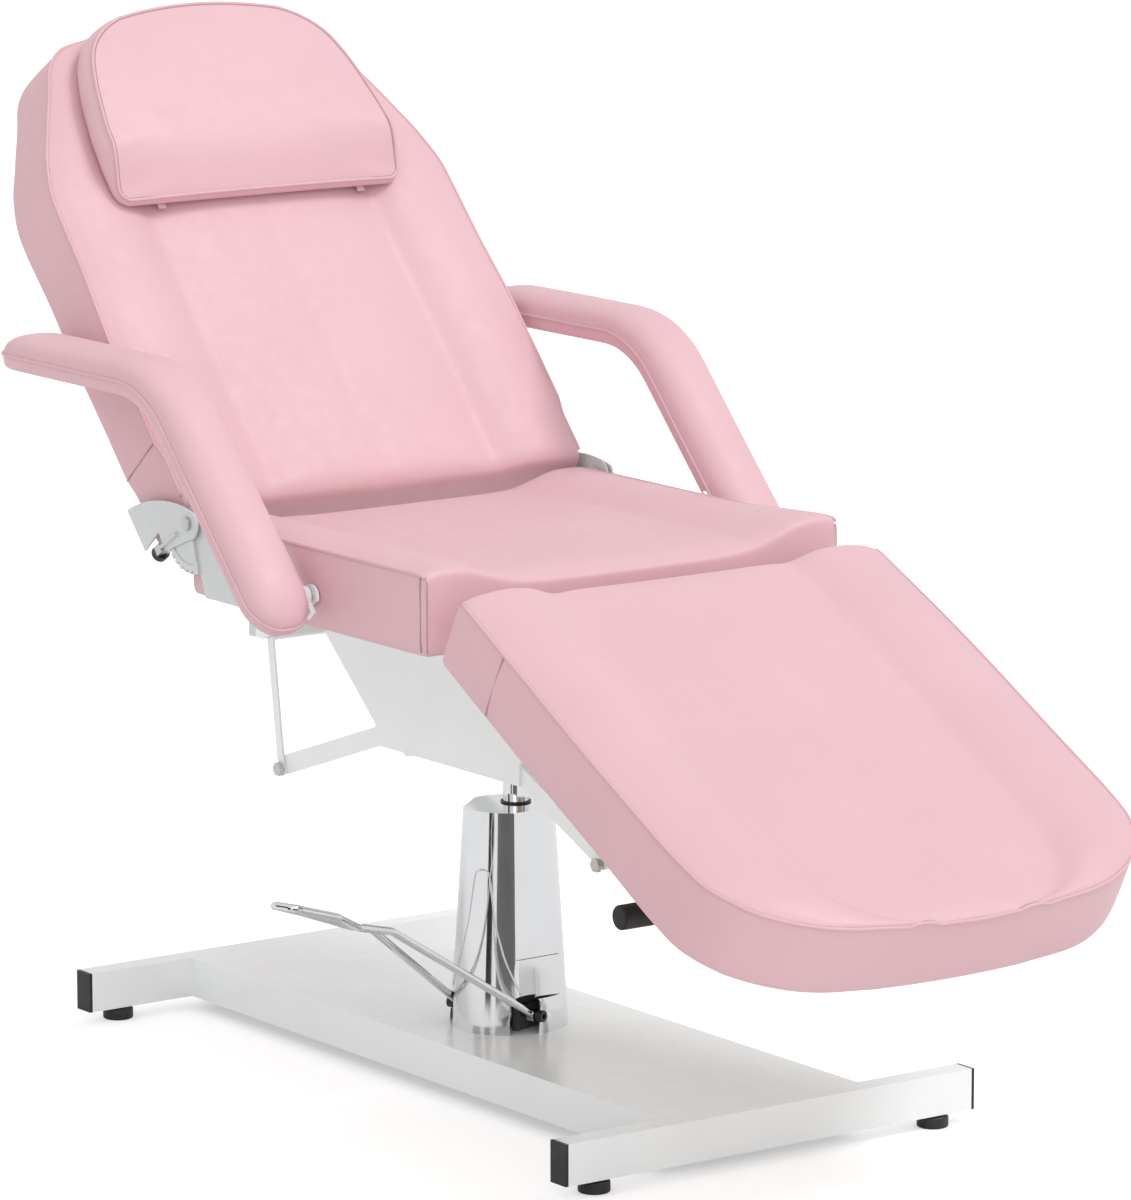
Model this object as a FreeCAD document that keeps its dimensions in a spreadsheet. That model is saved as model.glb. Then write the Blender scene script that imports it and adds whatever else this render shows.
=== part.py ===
import FreeCAD, Part
import math
import os
import re
import Sketcher

# Three-section reclining chair on a foot-pumped column, in millimetres.
# +Z is up, the foot end looks along -Y and the sitter's right side is -X.
# The rest pose is the one in the photograph: back raised, leg rest lowered, column down.

doc = FreeCAD.newDocument("chair")
sheet = doc.addObject("Spreadsheet::Sheet", "sizes")

SIZES = {
    # where the middle of the base stands in the model's frame
    "frame_x": 25.8,
    "frame_y": 58.3,
    # base: two cross tubes joined by a flat steel box
    "floor_gap": 16,
    "base_half": 525,
    "bar_half": 296,
    "bar_depth": 30,
    "bar_height": 50,
    "bar_wall": 2,
    "box_half": 147,
    "box_wall": 3,
    "cap_lip": 4,
    "cap_plug": 16,
    "cap_play": 0.3,
    # levelling feet
    "foot_inset": 47,
    "foot_radius": 19,
    "foot_thickness": 14,
    "foot_edge": 2.5,
    "stem_radius": 4,
    "stem_top": 50,
    "thread_play": 0.05,
    "stem_hole_radius": 4.6,
    "nut_radius": 8,
    "nut_height": 8,
    # column and pump
    "column_y": -7,
    "rod_radius": 16,
    "rod_bottom": 110,
    "rod_top": 470,
    "slide_play": 0.05,
    "pump_turn": 20,
    "cover_offset": 16,
    "cover_base_radius": 73,
    "cover_top_radius": 56.5,
    "cover_top": 338,
    "cover_wall": 2,
    "facet_turn": 71,
    "facet_share": 0.872,
    "facet_foot": 158,
    "pocket_share": 0.9,
    "pocket_foot": 109,
    "slot_width": 24,
    "slot_height": 37,
    "mouth_reach": 6,
    "slot_reach": 38,
    "pump_radius": 37,
    "pump_top": 332,
    "bore_foot": 96,
    "collar_radius": 18.6,
    "collar_height": 8,
    "collar_bore": 16.4,
    # foot lever, in the pump's own directions
    "pin_reach": 26,
    "pin_height": 87,
    "pin_radius": 4,
    "pin_play": 0.05,
    "boss_radius": 7,
    "boss_inner": 61,
    "boss_outer": 70,
    "boss_hole": 3.5,
    "boss_hole_depth": 4,
    "boss_play": 0.4,
    "lug_inner": 30,
    "lug_outer": 38,
    "lug_half": 9,
    "lever_radius": 5,
    "eye_radius": 8,
    "leg_spread": 54,
    "leg_bend_reach": 266,
    "leg_bend_spread": 15.7,
    "leg_bend_height": 232.6,
    "neck_reach": 319,
    "neck_height": 246.4,
    "neck_spread": 5.3,
    "loop_reach": 393,
    "loop_spread": 28,
    "loop_height": 276,
    "tip_reach": 460,
    "tip_height": 297.6,
    "tip_spread": 16,
    "lever_bend": 16,
    # hub and shroud under the seat
    "hub_radius": 27,
    "hub_foot": 396,
    "hub_plate": 8,
    "hub_plate_x": 155,
    "hub_plate_y": 110,
    "shroud_inner": 98,
    "shroud_thick": 4,
    "shroud_foot": 395,
    "shroud_foot_rear": 146,
    "shroud_foot_front": 156,
    "shroud_step": 26,
    "shroud_shoulder_y": 262,
    "shroud_shoulder_z": 524,
    "web_reach": 62,
    "web_thick": 4,
    "web_foot": 425,
    "web_play": 0.2,
    "arm_thick": 8,
    "under_arm_depth": 25,
    "arm_round_share": 0.45,
    "rear_bolt_y": 356,
    "front_bolt_y": 317,
    "arm_bolt_z": 329,
    "arm_corner_rear": 142,
    "arm_corner_front": 152,
    "arm_corner_z": 407,
    "bolt_radius": 5,
    "bolt_head_radius": 9,
    "bolt_head": 6,
    "bolt_play": 0.06,
    # rear stay
    "stay_gap": 0.6,
    "stay_thick": 3,
    "stay_width": 13,
    "stay_length": 166,
    "stay_angle": 82,
    "stay_bar_radius": 5,
    "stay_eye_radius": 9,
    # seat
    "seat_half": 298,
    "seat_foot": 587,
    "board_thick": 8,
    "board_inset": 24,
    "board_play": 0.3,
    "seat_front": 246,
    "seat_rear": 258,
    "seat_side_top": 685,
    "seat_crest": 690,
    "seat_crest_x": 240,
    "seat_dip": 672,
    "seat_dip_x": 182,
    "seat_middle": 667,
    "front_roll": 24,
    "front_drop": 8,
    "rear_roll": 12,
    "rear_relief": 30,
    "rear_relief_depth": 6,
    "rear_drop": 7,
    "side_draw": 2,
    "side_bulge": 2,
    "side_lip": 1.5,
    # seat frame
    "rail_x": 140,
    "rail_width": 30,
    "rail_height": 28,
    "rail_wall": 2,
    "rail_front": 228,
    "rail_rear": 240,
    "cross_front_y": 228,
    "cross_rear_y": 116,
    "cross_rear_half": 301.5,
    # back hinge, plates at both sides
    "hinge_y": 238,
    "hinge_z": 678,
    "plate_inner": 302,
    "plate_thick": 3,
    "sector_thick": 4,
    "sector_radius": 62,
    "sector_step_radius": 51,
    "sector_step": 1.2,
    "tooth_depth": 4.5,
    "tooth_half": 2.6,
    "tooth_turn": 10,
    "sector_upper_turn": 4,
    "sector_lower_turn": 106,
    "link_gap": 0.5,
    "link_thick": 3,
    "link_heel_s": 0,
    "link_heel_depth": 58,
    "pivot_radius": 5,
    "pivot_play": 0.05,
    "pivot_head_radius": 8,
    "pivot_head": 4,
    "plate_nose": 20,
    "plate_rear_reach": 28,
    "plate_hook_drop": 32,
    "sector_eye": 16,
    "link_root": 60,
    # back rest, in its own directions from the lower front edge
    "back_y": 260,
    "back_z": 697,
    "back_angle": 48.5,
    "cushion_depth": 94,
    "back_half": 298,
    "back_clear": 66,
    "back_wide": 100,
    "back_wide_half": 303,
    "back_hold": 230,
    "back_waist": 350,
    "back_waist_half": 300,
    "back_full": 455,
    "back_full_half": 299,
    "back_bend": 505,
    "back_bend_half": 288,
    "back_shoulder": 560,
    "back_shoulder_half": 262,
    "back_slope": 620,
    "back_slope_half": 234,
    "back_corner": 668,
    "back_corner_half": 207,
    "back_top": 696,
    "back_top_half": 150,
    "crease_share": 0.55,
    "crest_share": 0.79,
    "soft_crest": 4,
    "soft_side": 1,
    "soft_dip": 5,
    "soft_middle": 1,
    "soft_roll": 14,
    "soft_drop": 4,
    # back frame
    "tube_side": 25,
    "leg_arm_root": 75,
    "tube_wall": 2,
    "back_rail_x": 150,
    "back_frame_foot": 48,
    "back_frame_top": 590,
    "spacer_s": 20,
    "spacer_e": 44,
    "link_bar_thick": 6,
    # locking plunger, along the radius from the hinge
    "plunger_angle": 82,
    "link_round_angle": 60,
    "plunger_radius": 2.3,
    "plunger_play": 0.05,
    "plunger_tip": 62.6,
    "housing_start": 66,
    "housing_end": 78,
    "housing_half": 6,
    "knob_start": 79,
    "knob_end": 88,
    "knob_radius": 10.5,
    "rib_width": 5,
    "rib_start": 26,
    # head pillow
    "pillow_half": 212,
    "pillow_foot": 432,
    "pillow_foot_round": 12,
    "pillow_shoulder_x": 128,
    "pillow_shoulder_rise": 259,
    "pillow_side_rise": 124,
    "pillow_rise": 275,
    "pillow_bow": 18,
    "pillow_gap": 5,
    "pillow_thick": 48,
    "pillow_crease_rise": 62,
    "pillow_lip": 20,
    "strap_x": 150,
    "strap_width": 22,
    "strap_start": 24,
    "strap_length": 90,
    "strap_thick": 2.5,
    # leg rest, in its own directions from the upper rear edge
    "leg_y": -323.5,
    "leg_z": 670,
    "leg_angle": 27.2,
    "leg_half": 303,
    "leg_wide": 290,
    "leg_wide_half": 311,
    "leg_full": 455,
    "leg_bend": 525,
    "leg_bend_half": 309,
    "leg_bow": 582,
    "leg_bow_half": 283,
    "leg_corner": 622,
    "leg_corner_half": 236,
    "leg_tip": 645,
    "leg_tip_half": 178,
    "leg_end": 659,
    "leg_end_half": 90,
    # leg rest hinge and frame
    "leg_pivot_s": -6.3,
    "leg_pivot_depth": 152.7,
    "lug_x": 168,
    "hinge_lug_thick": 6,
    "leg_arm_gap": 0.5,
    "leg_arm_thick": 5,
    "leg_pin_radius": 6,
    "leg_pin_head": 9.6,
    "leg_pin_play": 0.05,
    "leg_eye_radius": 15,
    "leg_rail_x": 183,
    "leg_frame_rear": 14,
    "leg_frame_end": 560,
    "leg_cross_mid": 400,
    # leg rest release lever
    "release_pivot_x": 75,
    "release_depth": 160,
    "release_radius": 5,
    "release_end": 285,
    "grip_length": 100,
    "grip_radius": 14.5,
    "grip_edge": 3,
    "release_eye": 9,
    "release_pin": 3.5,
    "release_play": 0.05,
    "bracket_thick": 3,
    "bracket_gap": 0.6,
    "bracket_half": 10,
    # arm rests
    "arm_x": 361,
    "arm_half": 42,
    "arm_top_z": 859,
    "arm_head_y": 545,
    "arm_knee_y": 195.2,
    "arm_slope": 46.4,
    "arm_bend": 140,
    "arm_post": 300,
    "arm_crown": 32,
    "arm_band": 18,
    "arm_plate_thick": 7,
    "arm_eye_radius": 12,
    "arm_pivot_from_end": 46,
    "arm_pivot_below": 5,
    "arm_pivot_radius": 6,
    "arm_pivot_play": 0.05,
    "arm_plate_length": 120,
    "arm_plate_foot": 20,
    "arm_plate_edge": 1,
    "arm_lug_thick": 4,
}


def fill_sheet():
    """Writes every driving size into its own named cell."""
    for row, (alias, amount) in enumerate(SIZES.items(), start=1):
        sheet.set("A%d" % row, alias)
        sheet.set("B%d" % row, str(amount))
        sheet.setAlias("B%d" % row, alias)
    doc.recompute()


fill_sheet()


def bound(text):
    """The expression text with each size's name pointed at its cell."""
    def cell(match):
        word = match.group(0)
        return "sizes." + word if word in SIZES else word
    return re.sub(r"[A-Za-z_]\w*", cell, str(text))


def value(text):
    """The number that an expression of sizes stands for."""
    result = sheet.evalExpression(re.sub(r"sizes\.", "", bound(text)))
    return float(getattr(result, "Value", result))


def added(*terms):
    return " + ".join("(%s)" % term for term in terms)


def minus(term):
    return "-(%s)" % term


# zones: where a sub-part's own directions sit in the model's frame

ZONES = {
    "own": ("0", "0", "0", (1, 0, 0), "0"),
    "base": ("frame_x", "frame_y", "0", (1, 0, 0), "0"),
    "pump": ("frame_x - cover_offset * cos(pump_turn * 1 deg)",
             "frame_y + column_y - cover_offset * sin(pump_turn * 1 deg)",
             "0", (0, 0, 1), "pump_turn"),
    "back": ("frame_x", "frame_y + back_y", "back_z", (1, 0, 0), "back_angle"),
    "leg": ("frame_x", "frame_y + leg_y", "leg_z", (1, 0, 0), "leg_angle"),
}


def place(item, zone):
    """Puts a finished sub-part into its zone."""
    x, y, z, axis, angle = ZONES[zone]
    spot = FreeCAD.Vector(value(x), value(y), value(z))
    turn = FreeCAD.Rotation(FreeCAD.Vector(*axis), value(angle))
    item.Placement = FreeCAD.Placement(spot, turn)
    item.setExpression("Placement.Base.x", bound(x))
    item.setExpression("Placement.Base.y", bound(y))
    item.setExpression("Placement.Base.z", bound(z))
    if value(angle):
        item.setExpression("Placement.Rotation.Angle", bound(angle))


def new_body(name, zone):
    body = doc.addObject("PartDesign::Body", name)
    body.Label = name
    place(body, zone)
    return body


# the sign that turns a distance along +axis into one along each sketch plane's normal
NORMALS = {"XY": 1, "XZ": -1, "YZ": 1}


def bind_point(sketch, geometry, corner, across, up):
    """Ties one point of a sketch to two expressions."""
    for kind, text in (("DistanceX", across), ("DistanceY", up)):
        row = sketch.addConstraint(Sketcher.Constraint(kind, -1, 1, geometry, corner, value(text)))
        sketch.setExpression("Constraints[%d]" % row, bound(text))


def draw_path(sketch, path, closed=True):
    """Draws lines and arcs. Each step is (across, up) or (arc across, arc up, across, up)."""
    steps = list(path[1:]) + ([path[0]] if closed else [])
    here = path[0][-2:]
    first = sketch.GeometryCount
    ends = []
    for step in steps:
        goal = step[-2:]
        start = FreeCAD.Vector(value(here[0]), value(here[1]), 0)
        finish = FreeCAD.Vector(value(goal[0]), value(goal[1]), 0)
        if len(step) == 4:
            via = FreeCAD.Vector(value(step[0]), value(step[1]), 0)
            edge = sketch.addGeometry(Part.Arc(start, via, finish), False)
            forward = (sketch.getPoint(edge, 1) - start).Length < (sketch.getPoint(edge, 2) - start).Length
        else:
            edge = sketch.addGeometry(Part.LineSegment(start, finish), False)
            forward = True
        ends.append((edge, 1 if forward else 2, 2 if forward else 1, here, step))
        here = goal
    for index, (edge, begin, end, corner, step) in enumerate(ends):
        bind_point(sketch, edge, begin, *corner)
        if index + 1 < len(ends) or closed:
            after = ends[(index + 1) % len(ends)]
            sketch.addConstraint(Sketcher.Constraint("Coincident", edge, end, after[0], after[1]))
        else:
            bind_point(sketch, edge, end, *step[-2:])
    for edge, begin, end, corner, step in ends:
        if len(step) == 4:
            mark = sketch.addGeometry(Part.Point(FreeCAD.Vector(value(step[0]), value(step[1]), 0)), True)
            bind_point(sketch, mark, 1, step[0], step[1])
            sketch.addConstraint(Sketcher.Constraint("PointOnObject", mark, 1, edge))
    return first


def draw_circle(sketch, across, up, radius):
    centre = FreeCAD.Vector(value(across), value(up), 0)
    ring = sketch.addGeometry(Part.Circle(centre, FreeCAD.Vector(0, 0, 1), value(radius)), False)
    bind_point(sketch, ring, 3, across, up)
    row = sketch.addConstraint(Sketcher.Constraint("Radius", ring, value(radius)))
    sketch.setExpression("Constraints[%d]" % row, bound(radius))


def rectangle(left, right, low, high):
    return [(left, low), (right, low), (right, high), (left, high)]


def new_sketch(body, plane, start="0"):
    """A sketch parallel to one of the body's own planes, at a distance along +axis."""
    support = [item for item in body.Origin.OriginFeatures if item.Role == plane + "_Plane"][0]
    sketch = body.newObject("Sketcher::SketchObject", body.Name + "_outline")
    sketch.AttachmentSupport = [(support, "")]
    sketch.MapMode = "FlatFace"
    distance = start if NORMALS[plane] > 0 else minus(start)
    sketch.setExpression("AttachmentOffset.Base.z", bound(distance))
    return sketch


def draw(sketch, outlines):
    """Outlines are paths, or (across, up, radius) circles."""
    for outline in outlines:
        if isinstance(outline, tuple):
            draw_circle(sketch, *outline)
        else:
            draw_path(sketch, outline)
    doc.recompute()


def pad(body, plane, outlines, start, end):
    """Adds material from start to end along +axis."""
    sketch = new_sketch(body, plane, start)
    draw(sketch, outlines)
    feature = body.newObject("PartDesign::Pad", body.Name + "_pad")
    feature.Profile = sketch
    feature.setExpression("Length", bound("(%s) - (%s)" % (end, start)))
    feature.Reversed = NORMALS[plane] < 0
    doc.recompute()
    return feature


def cut(body, plane, outlines, start, end):
    """Takes material away from start to end along +axis."""
    before = body.Shape.Volume
    sketch = new_sketch(body, plane, start)
    draw(sketch, outlines)
    feature = body.newObject("PartDesign::Pocket", body.Name + "_cut")
    feature.Profile = sketch
    feature.setExpression("Length", bound("(%s) - (%s)" % (end, start)))
    feature.Reversed = NORMALS[plane] > 0
    doc.recompute()
    if body.Shape.Volume >= before:
        raise ValueError("a cut in %s removes nothing" % body.Name)
    return feature


def fillet(body, wanted, radius):
    """Rounds the edges that wanted(edge) picks."""
    tip = body.Tip
    names = ["Edge%d" % (index + 1) for index, edge in enumerate(tip.Shape.Edges) if wanted(edge)]
    if not names:
        raise ValueError("no edge to round on %s" % body.Name)
    feature = body.newObject("PartDesign::Fillet", body.Name + "_round")
    feature.Base = (tip, names)
    feature.setExpression("Radius", bound(radius))
    doc.recompute()
    return feature


def block(name, zone, x, y, z):
    """A plain block, each side given as (low, high)."""
    body = new_body(name, zone)
    pad(body, "XY", [rectangle(x[0], x[1], y[0], y[1])], z[0], z[1])
    return body


def mirrored(pair):
    """The same span on the other side of the middle."""
    return minus(pair[1]), minus(pair[0])


SIDES = (("right", -1), ("left", 1))
NOTCH_COUNT = 9


def side_span(sign, inner, outer):
    """A span of X between two distances from the middle, on one side."""
    return (inner, outer) if sign > 0 else mirrored((inner, outer))


# base

def make_crossbar(name, sign):
    inner, outer = "base_half - bar_depth", "base_half"
    span = side_span(sign, inner, outer)
    body = new_body(name, "base")
    top = "floor_gap + bar_height"
    shell = rectangle(span[0], span[1], "floor_gap", top)
    hollow = rectangle(added(span[0], "bar_wall"), "%s - bar_wall" % span[1],
                       "floor_gap + bar_wall", top + " - bar_wall")
    pad(body, "YZ", [shell, hollow], minus("bar_half"), "bar_half")
    holes = [(foot_x(side), foot_y(sign), "stem_hole_radius") for side in (-1, 1)]
    cut(body, "XY", holes, "floor_gap - bar_wall", "floor_gap + bar_wall * 2")


def foot_x(side):
    return "bar_half - foot_inset" if side > 0 else "foot_inset - bar_half"


def foot_y(sign):
    return "base_half - bar_depth / 2" if sign > 0 else "bar_depth / 2 - base_half"


def make_end_caps():
    body = new_body("end_caps", "base")
    lips = []
    plugs = []
    top = "floor_gap + bar_height"
    for sign in (-1, 1):
        span = side_span(sign, "base_half - bar_depth", "base_half")
        lips.append(rectangle(span[0], span[1], "floor_gap", top))
        edge = "bar_wall + cap_play"
        plugs.append(rectangle(added(span[0], edge), "%s - (%s)" % (span[1], edge),
                               added("floor_gap", edge), "%s - (%s)" % (top, edge)))
    for sign in (-1, 1):
        lip = side_span(sign, "bar_half", "bar_half + cap_lip")
        plug = side_span(sign, "bar_half - cap_plug", "bar_half")
        pad(body, "YZ", lips, *lip)
        pad(body, "YZ", plugs, *plug)


def make_base_box():
    half_length = "base_half - bar_depth"
    top = "floor_gap + bar_height"
    body = block("base_box", "base", (minus("box_half"), "box_half"), (minus(half_length), half_length),
                 ("floor_gap", top))
    inner = "box_half - box_wall"
    inner_length = half_length + " - box_wall"
    cut(body, "XY", [rectangle(minus(inner), inner, minus(inner_length), inner_length)],
        "floor_gap - box_wall", top + " - box_wall")


def make_feet():
    for y_name, y_sign in (("foot", -1), ("head", 1)):
        for x_name, x_sign in SIDES:
            body = new_body("levelling_foot_%s_%s" % (y_name, x_name), "base")
            spot = (foot_x(x_sign), foot_y(y_sign))
            pad(body, "XY", [spot + ("foot_radius",)], "0", "foot_thickness")
            fillet(body, lambda edge: edge.Length > value("foot_radius + stem_radius") * math.pi, "foot_edge")
            pad(body, "XY", [spot + ("stem_radius",)], "foot_thickness", "stem_top")


def make_foot_nuts():
    body = new_body("foot_nuts", "base")
    outlines = []
    for y_sign in (-1, 1):
        for x_sign in (-1, 1):
            spot = (foot_x(x_sign), foot_y(y_sign))
            outlines.append(hexagon(spot[0], spot[1], "nut_radius"))
            outlines.append(spot + ("stem_radius + thread_play",))
    pad(body, "XY", outlines, "floor_gap + bar_wall", "floor_gap + bar_wall + nut_height")


def hexagon(across, up, radius):
    corners = []
    for number in range(6):
        turn = "%d deg" % (60 * number)
        corners.append(("%s + (%s) * cos(%s)" % (across, radius, turn),
                        "%s + (%s) * sin(%s)" % (up, radius, turn)))
    return corners


# pump and foot lever

BASE_TOP = "floor_gap + bar_height"


def cover_radius(height):
    """The cover's outer radius at a height."""
    rise = "((%s) - (%s)) / (cover_top - (%s))" % (height, BASE_TOP, BASE_TOP)
    return "cover_base_radius + (cover_top_radius - cover_base_radius) * %s" % rise


def turned(x, y, z, turn):
    """A placement turned about one of the axes."""
    return FreeCAD.Placement(FreeCAD.Vector(0, 0, 0), FreeCAD.Rotation(FreeCAD.Vector(x, y, z), turn))


def flat_cutter(turn, inset, low, high, share):
    """A wedge that takes one flat off the drum between two heights."""
    foot = "(%s) * %s - (%s)" % (cover_radius(low), share, inset)
    head = "(%s) * %s - (%s)" % (cover_radius(high), share, inset)
    far = "cover_base_radius * 2"
    sketch = doc.addObject("Sketcher::SketchObject", "flat_outline")
    sketch.Placement = turned(1, 0, 0, 90)
    draw_path(sketch, [(foot, low), (far, low), (far, high), (head, high)])
    doc.recompute()
    wedge = doc.addObject("Part::Extrusion", "flat_wedge")
    wedge.Base = sketch
    wedge.DirMode = "Custom"
    wedge.Dir = FreeCAD.Vector(0, 1, 0)
    wedge.setExpression("LengthFwd", bound("cover_base_radius"))
    wedge.setExpression("LengthRev", bound("cover_base_radius"))
    wedge.Solid = True
    wedge.Placement = turned(0, 0, 1, value(turn))
    wedge.setExpression("Placement.Rotation.Angle", bound(turn))
    return wedge


def drum_with_flats(name, inset, top):
    """The cover's outside, or its inside when it is drawn in by the wall."""
    drum = doc.addObject("Part::Cone", name + "_drum")
    drum.setExpression("Radius1", bound("(%s) - (%s)" % (cover_radius(BASE_TOP), inset)))
    drum.setExpression("Radius2", bound("(%s) - (%s)" % (cover_radius(top), inset)))
    drum.setExpression("Height", bound("(%s) - (%s)" % (top, BASE_TOP)))
    drum.setExpression("Placement.Base.z", bound(BASE_TOP))
    doc.recompute()
    shape = drum
    for side in (-1, 1):
        turn = "180 + %d * facet_turn" % side
        for low, high, share in (("facet_foot", "cover_top + cover_wall", "facet_share"),
                                 ("pocket_foot", "facet_foot + cover_wall", "pocket_share")):
            wedge = flat_cutter(turn, inset, low, high, share)
            trimmed = doc.addObject("Part::Cut", name + "_flat")
            trimmed.Base = shape
            trimmed.Tool = wedge
            doc.recompute()
            shape = trimmed
    return shape


def pump_tool(kind, name, **sizes):
    tool = doc.addObject(kind, name)
    for prop, text in sizes.items():
        tool.setExpression(prop.replace("__", "."), bound(text))
    return tool


def make_pump_cover():
    outside = drum_with_flats("cover_outside", "0", "cover_top")
    inside = drum_with_flats("cover_inside", "cover_wall", "cover_top - cover_wall")
    shell = doc.addObject("Part::Cut", "cover_shell")
    shell.Base = outside
    shell.Tool = inside
    doc.recompute()
    tools = []
    mouth = pump_tool("Part::Cylinder", "rod_mouth", Radius="collar_radius + cap_play",
                      Height="cover_wall + mouth_reach", Placement__Base__x="cover_offset",
                      Placement__Base__z="cover_top - cover_wall - mouth_reach / 2")
    tools.append(mouth)
    for side in (-1, 1):
        slot = doc.addObject("Part::Box", "lever_slot")
        slot.setExpression("Length", bound("slot_reach"))
        slot.setExpression("Width", bound("slot_width"))
        slot.setExpression("Height", bound("slot_height"))
        slot.setExpression("Placement.Base.x", bound("-pin_reach - slot_reach"))
        across = "leg_spread - slot_width / 2" if side > 0 else "-leg_spread - slot_width / 2"
        slot.setExpression("Placement.Base.y", bound(across))
        slot.setExpression("Placement.Base.z", bound(BASE_TOP + " - cover_wall / 2"))
        tools.append(slot)
        arch = doc.addObject("Part::Cylinder", "lever_arch")
        arch.setExpression("Radius", bound("slot_width / 2"))
        arch.setExpression("Height", bound("slot_reach"))
        arch.Placement = turned(0, 1, 0, 90)
        arch.setExpression("Placement.Base.x", bound("-pin_reach - slot_reach"))
        arch.setExpression("Placement.Base.y", bound("leg_spread * %d" % side))
        arch.setExpression("Placement.Base.z", bound(BASE_TOP + " - cover_wall / 2 + slot_height"))
        tools.append(arch)
        hole = doc.addObject("Part::Cylinder", "boss_hole")
        hole.setExpression("Radius", bound("boss_radius + boss_play"))
        hole.setExpression("Height", bound("cover_base_radius"))
        hole.Placement = turned(1, 0, 0, -90 * side)
        hole.setExpression("Placement.Base.x", bound("-pin_reach"))
        hole.setExpression("Placement.Base.y", bound("boss_inner * %d" % side))
        hole.setExpression("Placement.Base.z", bound("pin_height"))
        tools.append(hole)
    doc.recompute()
    cutters = doc.addObject("Part::MultiFuse", "cover_cutters")
    cutters.Shapes = tools
    cover = doc.addObject("Part::Cut", "pump_cover")
    cover.Label = "pump_cover"
    cover.Base = shell
    cover.Tool = cutters
    place(cover, "pump")
    doc.recompute()
    return cover


def make_pump_body():
    body = new_body("pump_body", "pump")
    pad(body, "XY", [("cover_offset", "0", "pump_radius")], BASE_TOP, "pump_top")
    for side in (-1, 1):
        span = side_span(side, "lug_inner", "lug_outer")
        low = BASE_TOP
        lug = rectangle("-pin_reach - lug_half", "cover_offset", low, "pin_height + lug_half")
        pad(body, "XZ", [lug], *span)
        cut(body, "XZ", [("-pin_reach", "pin_height", "pin_radius")], *span)
    cut(body, "XY", [("cover_offset", "0", "rod_radius + slide_play")], "bore_foot", "pump_top")


def make_pump_collar():
    body = new_body("pump_collar", "pump")
    rings = [("cover_offset", "0", "collar_radius"), ("cover_offset", "0", "collar_bore")]
    pad(body, "XY", rings, "pump_top", "pump_top + collar_height")


def make_lever_pin():
    body = new_body("lever_pin", "pump")
    spot = ("-pin_reach", "pin_height")
    pad(body, "XZ", [spot + ("pin_radius",)], minus("boss_outer"), "boss_outer")
    for side in (-1, 1):
        pad(body, "XZ", [spot + ("boss_radius",)], *side_span(side, "boss_inner", "boss_outer"))
        cut(body, "XZ", [spot + ("boss_hole",)],
            *side_span(side, "boss_outer - boss_hole_depth", "boss_outer"))


def rounded_route(corners, bend):
    """Straight runs through the corners, joined by tangent arcs."""
    edges = []
    here = corners[0]
    for corner, after in zip(corners[1:-1], corners[2:]):
        back = (here - corner).normalize()
        ahead = (after - corner).normalize()
        half_turn = (math.pi - back.getAngle(ahead)) / 2
        room = min((here - corner).Length, (after - corner).Length) / 2
        tangent = min(bend * math.tan(half_turn), room)
        start = corner + back * tangent
        finish = corner + ahead * tangent
        inward = (back + ahead).normalize()
        radius = tangent / math.tan(half_turn)
        centre = corner + inward * (radius / math.cos(half_turn))
        middle = centre - inward * radius
        edges.append(Part.LineSegment(here, start).toShape())
        edges.append(Part.Arc(start, middle, finish).toShape())
        here = finish
    edges.append(Part.LineSegment(here, corners[-1]).toShape())
    return Part.Wire(edges)


def round_bar(corners, bend, radius):
    """A round bar bent along a route."""
    route = rounded_route(corners, bend)
    ring = Part.makeCircle(radius, corners[0], corners[1] - corners[0])
    return route.makePipeShell([Part.Wire([ring])], True, False)


def make_foot_lever():
    """Two legs from the pin, drawn together at a neck, then a long closed loop for the shoe."""
    halves = []
    for side in (-1, 1):
        marks = (("pin_reach", "leg_spread", "pin_height"),
                 ("leg_bend_reach", "leg_bend_spread", "leg_bend_height"),
                 ("neck_reach", "neck_spread", "neck_height"),
                 ("loop_reach", "loop_spread", "loop_height"),
                 ("tip_reach", "tip_spread", "tip_height"),
                 ("tip_reach", "0", "tip_height"))
        corners = [FreeCAD.Vector(-value(out), side * value(across), value(up)) for out, across, up in marks]
        halves.append(round_bar(corners, value("lever_bend"), value("lever_radius")))
    across = value("lever_radius")
    spot = FreeCAD.Vector(-value("pin_reach"), 0, value("pin_height"))
    shape = halves[0].fuse(halves[1])
    for side in (-1, 1):
        start = FreeCAD.Vector(spot.x, side * value("leg_spread") - across, spot.z)
        eye = Part.makeCylinder(value("eye_radius"), across * 2, start, FreeCAD.Vector(0, 1, 0))
        shape = shape.fuse(eye)
    bore_start = FreeCAD.Vector(spot.x, -value("boss_outer"), spot.z)
    bore = Part.makeCylinder(value("pin_radius + pin_play"), value("boss_outer") * 2, bore_start,
                             FreeCAD.Vector(0, 1, 0))
    lever = doc.addObject("Part::Feature", "foot_lever")
    lever.Label = "foot_lever"
    lever.Shape = shape.cut(bore).removeSplitter()
    place(lever, "pump")


# column, hub and shroud

RAIL_FOOT = "seat_foot - rail_height"
HUB_TOP = "seat_foot - rail_height - hub_plate"


def make_column():
    body = new_body("piston_rod", "base")
    pad(body, "XY", [("0", "column_y", "rod_radius")], "rod_bottom", "rod_top")
    hub = new_body("column_hub", "base")
    pad(hub, "XY", [("0", "column_y", "hub_radius")], "hub_foot", HUB_TOP)
    plate = rectangle(minus("hub_plate_x"), "hub_plate_x", "column_y - hub_plate_y", "column_y + hub_plate_y")
    pad(hub, "XY", [plate], HUB_TOP, RAIL_FOOT)
    cut(hub, "XY", [("0", "column_y", "rod_radius + slide_play")], "hub_foot", "rod_top + slide_play")


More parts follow.
